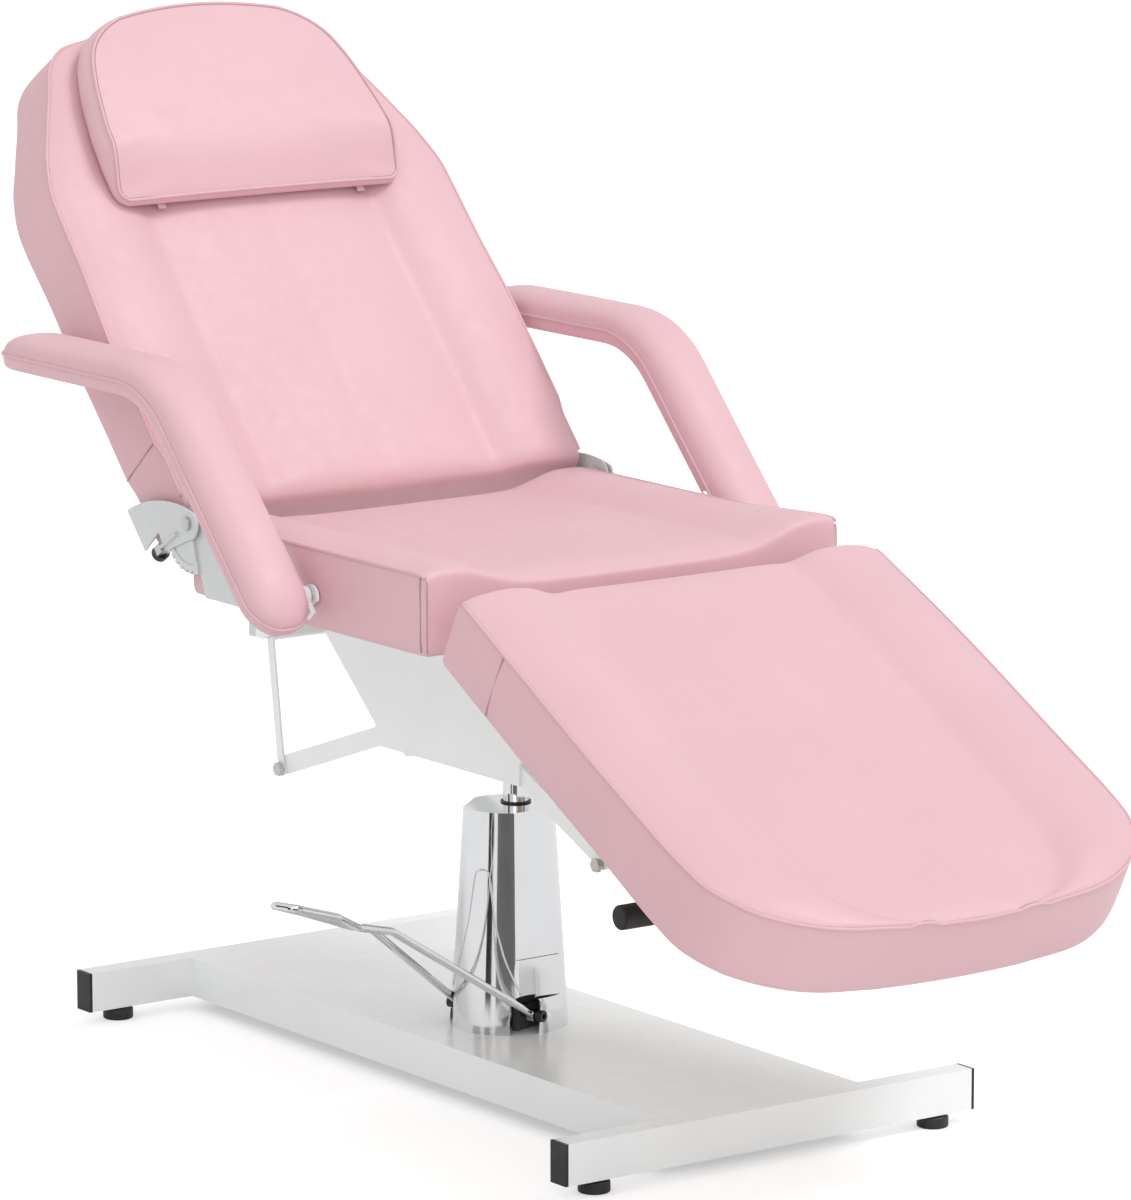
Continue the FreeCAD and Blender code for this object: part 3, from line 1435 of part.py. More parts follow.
def make_arm_plates():
    """Flat steel strips on the pads' inner sides, each with its pivot eye."""
    inner = "arm_x - arm_half - arm_plate_thick"
    spot = arm_pivot()
    low, high = "arm_plate_edge - arm_band", minus("arm_plate_edge")
    near, far = "arm_post - arm_plate_foot", "arm_post - arm_plate_length"
    strip = [post_mark(low, near), post_mark(high, near), post_mark(high, far), post_mark(low, far)]
    for name, sign in SIDES:
        body = new_body("armrest_plate_" + name, "base")
        span = side_span(sign, inner, "arm_x - arm_half")
        pad(body, "YZ", [strip], *span)
        pad(body, "YZ", [spot + ("arm_eye_radius",)], *span)
        cut(body, "YZ", [spot + ("arm_pivot_radius + arm_pivot_play",)], *span)


def make_arm_lugs():
    """Plates at the ends of the rear cross tube that carry the arm rests' pivots."""
    low = "seat_foot - rail_height"
    spot = arm_pivot()
    rear = "cross_rear_y - rail_width"
    eye = "arm_eye_radius"
    middle = "cross_rear_y - rail_width / 2 - web_play"
    half_eye = "%s * sin(30 deg)" % eye
    slant = "%s * sin(45 deg)" % eye
    outline = [(rear, low), (middle, low), (middle, "seat_foot"),
               (added(spot[0], half_eye), added(spot[1], eye)),
               ("%s - (%s)" % (spot[0], slant), added(spot[1], slant),
                "%s - (%s)" % (spot[0], eye), "%s - (%s)" % (spot[1], half_eye))]
    pivots = new_body("armrest_pivots", "base")
    for name, sign in SIDES:
        body = new_body("armrest_lug_" + name, "base")
        span = side_span(sign, "cross_rear_half", "cross_rear_half + arm_lug_thick")
        pad(body, "YZ", [outline], *span)
        cut(body, "YZ", [spot + ("arm_pivot_radius",)], *span)
        pad(pivots, "YZ", [spot + ("arm_pivot_radius",)],
            *side_span(sign, "cross_rear_half", "arm_x - arm_half - arm_lug_thick / 2"))


def build_all():
    make_crossbar("crossbar_foot", -1)
    make_crossbar("crossbar_head", 1)
    make_end_caps()
    make_base_box()
    make_feet()
    make_foot_nuts()
    make_pump_cover()
    make_pump_body()
    make_pump_collar()
    make_lever_pin()
    make_foot_lever()
    make_column()
    make_shroud()
    make_under_arms()
    make_arm_bolts()
    make_rear_stay()
    make_seat()
    make_seat_frame()
    make_seat_hinge_plates()
    make_sectors()
    make_back_pivots()
    make_back_links()
    make_plungers()
    make_back()
    make_back_frame()
    make_pillow()
    make_leg_rest()
    make_leg_hinge()
    make_release_lever()
    make_arm_pads()
    make_arm_plates()
    make_arm_lugs()


build_all()
doc.recompute()


# write every finished sub-part

def finished():
    """The sub-parts: bodies and top-level solids that nothing else uses."""
    kinds = ("PartDesign::Body", "Part::MultiFuse", "Part::Cut", "Part::Feature")
    items = []
    for item in doc.Objects:
        users = [user for user in item.InList if user.TypeId.startswith("Part::")]
        if item.TypeId in kinds and not users:
            items.append(item)
    return items


def problems():
    found = [item.Name for item in doc.Objects if "Invalid" in item.State or "Error" in item.State]
    for item in finished():
        if item.Shape.isNull() or not item.Shape.isValid() or not item.Shape.Solids:
            found.append(item.Label + " has no valid solid")
    return found


faults = problems()
if faults:
    raise SystemExit("failed: " + ", ".join(faults))

os.makedirs("parts", exist_ok=True)
whole = FreeCAD.BoundBox()
for item in finished():
    item.Shape.exportStep("parts/%s.step" % item.Label)
    whole.add(item.Shape.BoundBox)
    print("%-28s solids %d volume %.0f" % (item.Label, len(item.Shape.Solids), item.Shape.Volume))
print("box", whole)
print("middle", whole.Center)
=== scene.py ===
import math

import bmesh
import bpy
import numpy as np
from mathutils import Matrix, Vector

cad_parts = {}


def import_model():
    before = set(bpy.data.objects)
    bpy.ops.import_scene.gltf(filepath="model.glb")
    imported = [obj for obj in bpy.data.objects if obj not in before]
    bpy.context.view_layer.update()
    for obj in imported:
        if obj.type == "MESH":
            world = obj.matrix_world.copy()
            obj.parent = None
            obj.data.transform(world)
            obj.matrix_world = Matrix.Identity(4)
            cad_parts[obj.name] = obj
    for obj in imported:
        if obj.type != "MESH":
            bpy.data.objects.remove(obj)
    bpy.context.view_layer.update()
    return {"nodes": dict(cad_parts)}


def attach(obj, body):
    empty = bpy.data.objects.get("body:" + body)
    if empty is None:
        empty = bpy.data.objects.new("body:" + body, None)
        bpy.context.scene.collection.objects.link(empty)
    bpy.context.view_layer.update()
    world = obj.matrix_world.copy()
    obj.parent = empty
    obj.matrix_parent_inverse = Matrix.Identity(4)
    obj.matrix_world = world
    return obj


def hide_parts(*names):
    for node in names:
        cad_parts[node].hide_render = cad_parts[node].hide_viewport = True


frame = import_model()

# Lengths are in millimetres until they reach a mesh, which is in metres.
MM = 0.001
NEARLY = 1e-6
FRAME_X = 25.8
FRAME_Y = 58.3
SIDES = (("right", -1), ("left", 1))


# places in the chair's zones

def base_place(x, y, z):
    x, y, z = np.broadcast_arrays(np.asarray(x, float), y, z)
    return np.stack([FRAME_X + x, FRAME_Y + y, z], -1) * MM


def tilted_place(start_y, start_z, angle):
    """Points given across, along and above a cushion's front face."""
    cosine = math.cos(math.radians(angle))
    sine = math.sin(math.radians(angle))

    def place(x, along, height):
        x, along, height = np.broadcast_arrays(np.asarray(x, float), along, height)
        y = start_y + along * cosine - height * sine
        z = start_z + along * sine + height * cosine
        return np.stack([FRAME_X + x, FRAME_Y + y, z], -1) * MM

    return place


BACK_START = (260, 697)
BACK_ANGLE = 48.5
LEG_START = (-323.5, 670)
LEG_ANGLE = 27.2
back_place = tilted_place(*BACK_START, BACK_ANGLE)
leg_place = tilted_place(*LEG_START, LEG_ANGLE)

# The arm rest's line: level from its head, a bend, and a sloping post.
ARM_X = 361
ARM_HALF = 42
ARM_TOP = 859
ARM_HEAD_Y = 545
ARM_BEND = 140
ARM_SLOPE = math.radians(46.4)
ARM_KNEE_Y = 195.2 + ARM_BEND * math.tan(ARM_SLOPE / 2)
ARM_POST = 300
ARM_STRAIGHT = ARM_HEAD_Y - ARM_KNEE_Y
ARM_ARC = ARM_BEND * ARM_SLOPE
ARM_LENGTH = ARM_STRAIGHT + ARM_ARC + ARM_POST


def arm_place(sign):
    """Points given across, along from the head end and above the arm rest's piping."""

    def place(x, along, height):
        x, along, height = np.broadcast_arrays(np.asarray(x, float), along, height)
        head = np.minimum(along, ARM_STRAIGHT)
        turn = np.clip((along - ARM_STRAIGHT) / ARM_BEND, 0, ARM_SLOPE)
        post = np.maximum(along - ARM_STRAIGHT - ARM_ARC, 0)
        reach = ARM_BEND + height
        y = ARM_HEAD_Y - head - reach * np.sin(turn) - post * math.cos(ARM_SLOPE)
        z = ARM_TOP - ARM_BEND + reach * np.cos(turn) - post * math.sin(ARM_SLOPE)
        return np.stack([FRAME_X + sign * ARM_X + x, FRAME_Y + y, z], -1) * MM

    return place


# procedural finishes

def node(tree, kind, **inputs):
    made = tree.nodes.new(kind)
    for name, value in inputs.items():
        made.inputs[name.replace("_", " ")].default_value = value
    return made


def new_material(name):
    """A material with its shader, and the object's own coordinates in metres."""
    made = bpy.data.materials.new(name)
    made.use_nodes = True
    tree = made.node_tree
    shader = tree.nodes["Principled BSDF"]
    place = tree.nodes.new("ShaderNodeTexCoord").outputs["Object"]
    return made, tree, shader, place


def noise(tree, place, scale, detail=3.0, rough=0.5):
    made = node(tree, "ShaderNodeTexNoise", Scale=scale, Detail=detail, Roughness=rough)
    tree.links.new(place, made.inputs["Vector"])
    return made.outputs["Fac"]


def cells(tree, place, scale):
    made = node(tree, "ShaderNodeTexVoronoi", Scale=scale)
    made.feature = "SMOOTH_F1"
    tree.links.new(place, made.inputs["Vector"])
    return made.outputs["Distance"]


def spread(tree, value, low, high, start=0.3, end=0.7):
    """Maps a texture's middle range onto low to high."""
    made = tree.nodes.new("ShaderNodeMapRange")
    made.inputs["From Min"].default_value = start
    made.inputs["From Max"].default_value = end
    made.inputs["To Min"].default_value = low
    made.inputs["To Max"].default_value = high
    tree.links.new(value, made.inputs["Value"])
    return made.outputs["Result"]


def two_tone(tree, share, first, second):
    made = tree.nodes.new("ShaderNodeMix")
    made.data_type = "RGBA"
    tree.links.new(share, made.inputs["Factor"])
    made.inputs["A"].default_value = (*first, 1)
    made.inputs["B"].default_value = (*second, 1)
    return made.outputs["Result"]


def bump(tree, shader, height, depth, strength=1.0, before=None):
    made = node(tree, "ShaderNodeBump", Strength=strength, Distance=depth)
    tree.links.new(height, made.inputs["Height"])
    if before is not None:
        tree.links.new(before, made.inputs["Normal"])
    tree.links.new(made.outputs["Normal"], shader.inputs["Normal"])
    return made.outputs["Normal"]


def shade(colour, share):
    return tuple(c * share for c in colour)


PORES_PER_METRE = 640


def leather(name, colour, grain=1.0):
    """Leatherette: pebbled grain, soft patches of tone and roughness, a faint sheen."""
    made, tree, shader, place = new_material(name)
    patches = spread(tree, noise(tree, place, 7), 0, 1)
    tone = two_tone(tree, patches, colour, shade(colour, 0.955))
    pores = spread(tree, cells(tree, place, PORES_PER_METRE), 0, 1, 0.1, 0.75)
    mixed = tree.nodes.new("ShaderNodeMix")
    mixed.data_type = "RGBA"
    tree.links.new(pores, mixed.inputs["Factor"])
    tree.links.new(tone, mixed.inputs["A"])
    mixed.inputs["B"].default_value = (*shade(colour, 0.9), 1)
    fine = tree.nodes.new("ShaderNodeMix")
    fine.data_type = "RGBA"
    fine.inputs["Factor"].default_value = 0.35
    tree.links.new(tone, fine.inputs["A"])
    tree.links.new(mixed.outputs["Result"], fine.inputs["B"])
    tree.links.new(fine.outputs["Result"], shader.inputs["Base Color"])
    tree.links.new(spread(tree, noise(tree, place, 55, 5), 0.4, 0.56), shader.inputs["Roughness"])
    soft = bump(tree, shader, noise(tree, place, 34, 4), 0.0011 * grain, 0.35)
    bump(tree, shader, cells(tree, place, PORES_PER_METRE), 0.00028 * grain, 0.45, soft)
    shader.inputs["Sheen Weight"].default_value = 0.06
    shader.inputs["Sheen Roughness"].default_value = 0.5
    shader.inputs["Specular IOR Level"].default_value = 0.4
    return made


def paint(name, colour, rough):
    """Powder coat: orange peel, and patches that are a little duller."""
    made, tree, shader, place = new_material(name)
    patches = spread(tree, noise(tree, place, 9, 4), 0, 1)
    tree.links.new(two_tone(tree, patches, colour, shade(colour, 0.965)), shader.inputs["Base Color"])
    tree.links.new(spread(tree, noise(tree, place, 40, 4), rough, rough + 0.12), shader.inputs["Roughness"])
    bump(tree, shader, noise(tree, place, 850, 2), 0.00004, 0.4)
    return made


def metal(name, colour, rough, spread_by, scratch=220.0):
    """Plated or bare metal with fine brushing and a few duller patches."""
    made, tree, shader, place = new_material(name)
    shader.inputs["Metallic"].default_value = 1
    patches = spread(tree, noise(tree, place, 14, 5), 0, 1)
    tree.links.new(two_tone(tree, patches, colour, shade(colour, 0.93)), shader.inputs["Base Color"])
    stretch = node(tree, "ShaderNodeMapping", Scale=(1, 1, 0.06))
    tree.links.new(place, stretch.inputs["Vector"])
    streaks = noise(tree, stretch.outputs["Vector"], scratch, 4, 0.6)
    tree.links.new(spread(tree, streaks, rough, rough + spread_by), shader.inputs["Roughness"])
    bump(tree, shader, streaks, 0.00002, 0.25)
    return made


def plastic(name, colour, rough, depth=0.00012):
    """Moulded plastic or rubber with a fine spark texture and rubbed patches."""
    made, tree, shader, place = new_material(name)
    patches = spread(tree, noise(tree, place, 30, 4), 0, 1)
    tree.links.new(two_tone(tree, patches, colour, shade(colour, 1.6)), shader.inputs["Base Color"])
    tree.links.new(spread(tree, noise(tree, place, 90, 5), rough, rough + 0.16), shader.inputs["Roughness"])
    bump(tree, shader, noise(tree, place, 1500, 3), depth, 0.6)
    return made


def plywood(name):
    """Birch plywood: long soft grain with darker lines."""
    made, tree, shader, place = new_material(name)
    stretch = node(tree, "ShaderNodeMapping", Scale=(22, 1.3, 22))
    tree.links.new(place, stretch.inputs["Vector"])
    grain = noise(tree, stretch.outputs["Vector"], 6, 8, 0.62)
    tree.links.new(two_tone(tree, spread(tree, grain, 0, 1), (0.62, 0.47, 0.31), (0.48, 0.33, 0.2)),
                   shader.inputs["Base Color"])
    shader.inputs["Roughness"].default_value = 0.62
    bump(tree, shader, grain, 0.0002, 0.5)
    return made


PINK = (0.74, 0.465, 0.508)
FINISHES = {
    "white_paint": paint("white_powder_coat", (0.935, 0.955, 0.96), 0.14),
    "light_grey_paint": paint("grey_powder_coat", (0.66, 0.69, 0.68), 0.2),
    "chrome": metal("polished_chrome", (0.80, 0.81, 0.82), 0.05, 0.07),
    "upholstery": leather("pink_leatherette", PINK),
    "black_plastic": plastic("moulded_black", (0.014, 0.014, 0.015), 0.34),
    "zinc_steel": metal("zinc_plate", (0.60, 0.60, 0.58), 0.26, 0.16, 400.0),
    "board": plywood("birch_plywood"),
    "grip_rubber": plastic("black_rubber", (0.010, 0.010, 0.011), 0.46, 0.0003),
    "pump_iron": paint("pump_casting", (0.10, 0.10, 0.11), 0.45),
}
FINISHES["piping"] = leather("pink_piping", shade(PINK, 0.97), 0.5)
# The seam finish is pink darkened to 0.62: painted shade of the sunken seam lines and of the groove inside
# the piping.
FINISHES["seam"] = leather("pink_seam_painted_shade", shade(PINK, 0.62), 0.4)
FINISHES["thread"] = plastic("pink_thread", shade(PINK, 0.72), 0.6, 0.00005)

for cad in frame["nodes"].values():
    for spot in cad.material_slots:
        wanted = spot.material.name.split(".")[0]
        spot.material = FINISHES[wanted]


# mesh making

def new_piece(name, points, faces, finish, body):
    """A smooth mesh in metres that rides on a body."""
    mesh = bpy.data.meshes.new(name)
    mesh.from_pydata([tuple(p) for p in points], [], faces)
    shape = bmesh.new()
    shape.from_mesh(mesh)
    bmesh.ops.recalc_face_normals(shape, faces=shape.faces)
    shape.to_mesh(mesh)
    shape.free()
    mesh.materials.append(FINISHES[finish])
    mesh.shade_smooth()
    made = bpy.data.objects.new(name, mesh)
    bpy.context.scene.collection.objects.link(made)
    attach(made, body)
    return made


def frames_along(points, closed):
    """Two directions square to a line at each of its points, without twist."""
    ahead = np.roll(points, -1, 0) - np.roll(points, 1, 0)
    if not closed:
        ahead[0] = points[1] - points[0]
        ahead[-1] = points[-1] - points[-2]
    ahead /= np.linalg.norm(ahead, axis=1)[:, None]
    side = np.cross(ahead[0], (0, 0, 1))
    if np.linalg.norm(side) < 0.1:
        side = np.cross(ahead[0], (1, 0, 0))
    sides = []
    for step in ahead:
        side = side - step * (side @ step)
        side = side / np.linalg.norm(side)
        sides.append(side)
    sides = np.array(sides)
    return sides, np.cross(ahead, sides)


def ring_faces(start, rings, around):
    """The sides and both ends of a form made of rings of corners, one after the other."""
    faces = []
    for ring in range(rings - 1):
        one = start + ring * around
        for turn in range(around):
            after = (turn + 1) % around
            faces.append((one + turn, one + after, one + around + after, one + around + turn))
    last = start + (rings - 1) * around
    return faces + [tuple(range(start, start + around)), tuple(range(last, last + around))]


TUBE_CORNERS = 8


def tube(name, points, radius, finish, body, closed=False):
    """A round line along points, with its radius, in metres."""
    points = np.asarray(points, float)
    around = TUBE_CORNERS
    sides, ups = frames_along(points, closed)
    turns = np.arange(around) * 2 * math.pi / around
    ring = np.cos(turns)[None, :, None] * sides[:, None] + np.sin(turns)[None, :, None] * ups[:, None]
    verts = (points[:, None] + radius * ring).reshape(-1, 3)
    faces = ring_faces(0, len(points), around)
    if closed:
        last = (len(points) - 1) * around
        faces[-2:] = [(last + j, last + (j + 1) % around, (j + 1) % around, j) for j in range(around)]
    return new_piece(name, verts, faces, finish, body)


def resampled(points, step, closed=False):
    """Even spacing along a line of points, through a smooth curve."""
    points = np.asarray(points, float)
    if closed:
        points = np.vstack([points, points[:1]])
    lengths = np.r_[0, np.cumsum(np.linalg.norm(np.diff(points, axis=0), axis=1))]
    count = max(4, int(round(lengths[-1] / step)))
    wanted = np.linspace(0, lengths[-1], count + 1)
    if closed:
        wanted = wanted[:-1]
    out = []
    last = len(points) - 1
    for w in wanted:
        i = min(int(np.searchsorted(lengths, w, "right")) - 1, last - 1)
        t = (w - lengths[i]) / max(lengths[i + 1] - lengths[i], 1e-12)
        if closed:
            p0, p3 = points[(i - 1) % last], points[(i + 2) % last]
        else:
            p0, p3 = points[max(i - 1, 0)], points[min(i + 2, last)]
        p1, p2 = points[i], points[i + 1]
        out.append(0.5 * ((2 * p1) + (p2 - p0) * t + (2 * p0 - 5 * p1 + 4 * p2 - p3) * t * t
                          + (3 * p1 - p0 - 3 * p2 + p3) * t ** 3))
    return np.array(out)


STITCH_LENGTH = 3.6
STITCH_GAP = 1.5
STITCH_RADIUS = 0.45
STITCH_SHARE = STITCH_LENGTH / (STITCH_LENGTH + STITCH_GAP)
STITCH_CORNERS = 6
STITCH_ROUNDING = ((0, 0.35), (0.25, 1), (0.75, 1), (1, 0.35))


def stitches(name, points, body):
    """A row of thread stitches along points, in metres."""
    line = resampled(points, (STITCH_LENGTH + STITCH_GAP) * MM)
    around = STITCH_CORNERS
    rings = len(STITCH_ROUNDING)
    verts = []
    faces = []
    for a, b in zip(line[:-1], line[1:]):
        end = a + (b - a) * STITCH_SHARE
        way = (end - a) / np.linalg.norm(end - a)
        side = np.cross(way, (0, 0, 1))
        side /= np.linalg.norm(side)
        up = np.cross(side, way)
        start = len(verts)
        for share, size in STITCH_ROUNDING:
            for turn in range(around):
                angle = turn * 2 * math.pi / around
                out = side * math.cos(angle) + up * math.sin(angle)
                verts.append(a + (end - a) * share + out * STITCH_RADIUS * MM * size)
        faces += ring_faces(start, rings, around)
    return new_piece(name, verts, faces, "thread", body)


def rounded_drop(distance, radius):
    """How far a rolled edge has fallen at a distance inside it."""
    inside = np.clip(radius - distance, 0, radius)
    return radius - np.sqrt(radius ** 2 - inside ** 2)


def ease(start, end, x):
    share = np.clip((np.asarray(x, float) - start) / (end - start), 0, 1)
    return share * share * (3 - 2 * share)


def steps(start, end, step, fine_start=(), fine_end=()):
    """Even steps between two values, with closer ones at the ends."""
    low = start + (fine_start[-1] if fine_start else 0)
    high = end - (fine_end[-1] if fine_end else 0)
    count = max(2, int(round((high - low) / step)))
    middle = np.linspace(low, high, count + 1)
    first = start + np.array((0,) + tuple(fine_start[:-1])) if fine_start else np.array([])
    last = end - np.array(tuple(fine_end[:-1])[::-1] + (0,)) if fine_end else np.array([])
    return np.concatenate([first, middle, last])


def spline(stations, at):
    """Smooth values through stations, without overshoot."""
    stations = np.asarray(stations, float)
    xs, ys = stations[:, 0], stations[:, 1]
    at = np.asarray(at, float)
    slope = np.diff(ys) / np.diff(xs)
    tangent = np.zeros(len(xs))
    tangent[0], tangent[-1] = slope[0], slope[-1]
    for i in range(1, len(xs) - 1):
        if slope[i - 1] * slope[i] > 0:
            tangent[i] = 2 * slope[i - 1] * slope[i] / (slope[i - 1] + slope[i])
    i = np.clip(np.searchsorted(xs, at, "right") - 1, 0, len(xs) - 2)
    width = xs[i + 1] - xs[i]
    t = np.clip((at - xs[i]) / width, 0, 1)
    return (ys[i] * (1 + 2 * t) * (1 - t) ** 2 + tangent[i] * width * t * (1 - t) ** 2
            + ys[i + 1] * t * t * (3 - 2 * t) + tangent[i + 1] * width * t * t * (t - 1))


RECESS_START = 22.0
UNDER_INSET = 3.0


class Cushion:
    """A closed upholstered form over a grid: front face, side band, and an underside let in over its board.

    rows are along, columns across as shares of the half width, half and sag are given at each row.
    """

    def __init__(self, name, rows, half, sag, columns, top, bands, under, place, body,
                 recess=0.0, under_inset=UNDER_INSET):
        self.name = name
        self.place = place
        self.body = body
        self.rows, self.columns = np.asarray(rows, float), np.asarray(columns, float)
        self.half = np.asarray(half, float)
        shares = self.columns[None, :]
        x = self.half[:, None] * shares
        along = self.rows[:, None] + np.asarray(sag, float)[:, None] * (1 - shares ** 2)
        self.face = np.stack([x, along, top(x, along, np.broadcast_to(shares, x.shape))], -1)
        border = self.walk()
        self.edge = np.array([self.face[i, j] for i, j in border])
        self.outward = self.away()
        self.loops = [[i * len(self.columns) + j for i, j in border]]
        local = [self.face.reshape(-1, 3)]
        start = len(local[0])
        for share, offset in bands:
            out = offset(self.edge) if callable(offset) else np.full(len(self.edge), float(offset))
            ring = self.edge.copy()
            ring[:, :2] += self.outward * out[:, None]
            ring[:, 2] += (under - self.edge[:, 2]) * share
            local.append(ring)
            self.loops.append(list(range(start, start + len(ring))))
            start += len(ring)
        local.append(self.underside(under, recess, under_inset))
        self.low_start = start
        self.local = np.concatenate(local)
        self.faces = self.skin()

    def walk(self):
        """Row and column of each point round the border, in order."""
        last_row, last_column = len(self.rows) - 1, len(self.columns) - 1
        border = [(0, j) for j in range(last_column + 1)]
        border += [(i, last_column) for i in range(1, last_row + 1)]
        border += [(last_row, j) for j in range(last_column - 1, -1, -1)]
        return border + [(i, 0) for i in range(last_row - 1, 0, -1)]

    def away(self):
        """The way out of the cushion at each border point, in the plane of its face."""
        tangent = np.roll(self.edge[:, :2], -1, 0) - np.roll(self.edge[:, :2], 1, 0)
        tangent /= np.linalg.norm(tangent, axis=1)[:, None]
        sense = 1.0 if self.rows[-1] > self.rows[0] else -1.0
        return sense * np.stack([tangent[:, 1], -tangent[:, 0]], -1)

    def underside(self, under, recess, inset):
        """The face's grid drawn in a little, with a recess for the board."""
        along = self.face[..., 1]
        middle = (self.rows[0] + self.rows[-1]) / 2
        reach = abs(self.rows[-1] - self.rows[0]) / 2
        side_gap = self.half[:, None] * (1 - np.abs(self.columns[None, :]))
        end_gap = np.minimum(np.abs(along - self.rows[0]), np.abs(self.rows[-1] - along))
        deep = np.minimum(side_gap, end_gap) > RECESS_START - NEARLY
        low = self.face.copy()
        low[..., 0] *= (self.half - inset)[:, None] / self.half[:, None]
        low[..., 1] = middle + (along - middle) * (reach - inset) / reach
        low[..., 2] = under + np.where(deep, recess, 0.0)
        return low.reshape(-1, 3)

    def skin(self):
        """Faces of the front and the underside, and the rings between them."""
        wide = len(self.columns)
        faces = []
        for i in range(len(self.rows) - 1):
            for j in range(wide - 1):
                a = i * wide + j
                faces.append((a, a + 1, a + wide + 1, a + wide))
                b = self.low_start + a
                faces.append((b + wide, b + wide + 1, b + 1, b))
        loops = self.loops + [[self.low_start + corner for corner in self.loops[0]]]
        for upper, lower in zip(loops[:-1], loops[1:]):
            for k in range(len(upper)):
                n = (k + 1) % len(upper)
                faces.append((upper[k], lower[k], lower[n], upper[n]))
        return faces

    def make(self):
        points = self.place(self.local[:, 0], self.local[:, 1], self.local[:, 2])
        return new_piece(self.name, points, self.faces, "upholstery", self.body)

    def held(self, creases=()):
        """The points that a seam or the board holds while the cover is filled."""
        wide = len(self.columns)
        pins = set(range(self.low_start, len(self.local))) | set(self.loops[-1]) | set(self.loops[0])
        for share in creases:
            column = int(np.argmin(np.abs(self.columns - share)))
            pins |= {i * wide + column for i in range(len(self.rows))}
        return sorted(pins)

    def line(self, wanted, outward=0.0, height=0.0):
        """World points of the border where wanted(point) holds, in order."""
        picked = [k for k in range(len(self.edge)) if wanted(self.edge[k])]
        gaps = [n for n in range(1, len(picked)) if picked[n] != picked[n - 1] + 1]
        if gaps:
            picked = picked[gaps[0]:] + picked[:gaps[0]]
        points = self.local[[self.loops[0][k] for k in picked]].copy()
        points[:, :2] += self.outward[picked] * outward
        points[:, 2] += height
        return self.place(points[:, 0], points[:, 1], points[:, 2])

    def band_line(self, index, outward):
        """World points down the side band below one border point."""
        points = np.array([self.local[loop[index]] for loop in self.loops])
        points[:, :2] += self.outward[index] * outward
        return self.place(points[:, 0], points[:, 1], points[:, 2])

    def nearest(self, x, along):
        return int(np.argmin(np.hypot(self.edge[:, 0] - x, self.edge[:, 1] - along)))


CLOTH_STIFFNESS = 14.0
CLOTH_BENDING = 0.8
CLOTH_MASS = 0.25
CLOTH_FRAMES = 20
CLOTH_QUALITY = 4


def fill(piece, pins, pressure, cap):
    """Blows the cover out between the seams that hold it, with cloth, and keeps the result."""
    scene = bpy.context.scene
    group = piece.vertex_groups.new(name="held")
    group.add(pins, 1.0, "REPLACE")
    cloth = piece.modifiers.new("cover", "CLOTH")
    cloth.settings.quality = CLOTH_QUALITY
    cloth.settings.mass = CLOTH_MASS
    cloth.settings.tension_stiffness = CLOTH_STIFFNESS
    cloth.settings.compression_stiffness = CLOTH_STIFFNESS
    cloth.settings.shear_stiffness = CLOTH_STIFFNESS / 2
    cloth.settings.bending_stiffness = CLOTH_BENDING
    cloth.settings.use_pressure = True
    cloth.settings.uniform_pressure_force = pressure
    cloth.settings.effector_weights.gravity = 0
    cloth.settings.vertex_group_mass = "held"
    cloth.collision_settings.use_collision = False
    cloth.point_cache.frame_start = 1
    cloth.point_cache.frame_end = CLOTH_FRAMES
    for number in range(1, CLOTH_FRAMES + 1):
        scene.frame_set(number)
    count = len(piece.data.vertices)
    rest = np.zeros(count * 3)
    piece.data.vertices.foreach_get("co", rest)
    blown = piece.evaluated_get(bpy.context.evaluated_depsgraph_get())
    after = np.zeros(count * 3)
    blown.data.vertices.foreach_get("co", after)
    rest, after = rest.reshape(-1, 3), after.reshape(-1, 3)
    move = after - rest
    length = np.maximum(np.linalg.norm(move, axis=1), 1e-12)[:, None]
    move *= cap * MM * np.tanh(length / (cap * MM)) / length
    piece.modifiers.remove(cloth)
    piece.vertex_groups.remove(group)
    piece.data.vertices.foreach_set("co", (rest + move).ravel())
    piece.data.update()
    scene.frame_set(1)


SEAM_STEP = 6
SEAM_RADIUS = 0.75
BAND_SEAM_RADIUS = 0.8
PIPING_RADIUS = 2.2
PIPING_OUT = 0.6
PIPING_HEIGHT = -0.3
GROOVE_GAP = 0.5
GROOVE_HEIGHT = 0.1


def seam(name, line, body, radius=SEAM_RADIUS, finish="seam", closed=False):
    """A sewn line in relief along points, in metres. By default it takes the seam finish, whose darker pink
    is painted shade of the seam's groove.
    """
    points = resampled(line, SEAM_STEP * MM, closed)
    return tube(name, points, radius * MM, finish, body, closed)


def pipe(cushion, name, wanted, height=PIPING_HEIGHT, thick=PIPING_RADIUS, closed=False):
    """Piping along a cushion's border, with the sewn groove inside it, drawn as a thin raised line whose
    darker pink is painted groove shade.
    """
    edge = cushion.line(wanted, PIPING_OUT, height)
    seam(name, edge, cushion.body, thick, "piping", closed)
    groove = cushion.line(wanted, PIPING_OUT - thick - GROOVE_GAP, GROOVE_HEIGHT)
    seam(name + "_groove", groove, cushion.body, closed=closed)


def upholster(cushion, node_name, pins, pressure, cap):
    """The cushion's piece, filled, made finer and put in its solid's place."""
    piece = cushion.make()
    fill(piece, pins, pressure, cap)
    finer = piece.modifiers.new("finer", "SUBSURF")
    finer.levels = finer.render_levels = 1
    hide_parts(node_name)
    return piece


# seat

GRID = 12
EDGE_FINE = (2.0, 5.0, 10.0, 18.0, 23.0)
HINGE_FINE = (2.0, 5.0, 10.0, 16.0, 23.0)
SEAT_HALF = 298
SEAT_FRONT = -246
SEAT_REAR = 258
SEAT_UNDER = 587.2
SEAT_RECESS = 8.6
SEAT_CREASE = 176
SEAT_LEVELS = [(0, 668.5), (120, 668.5), (170, 670.5), (205, 679), (246, 689.5), (276, 690), (298, 685)]
SEAT_BANDS = [(0.05, 0.6), (0.2, 0.9), (0.36, 0.5), (0.52, 0.2), (0.68, 0.3), (0.84, 0.4), (0.95, -0.4)]


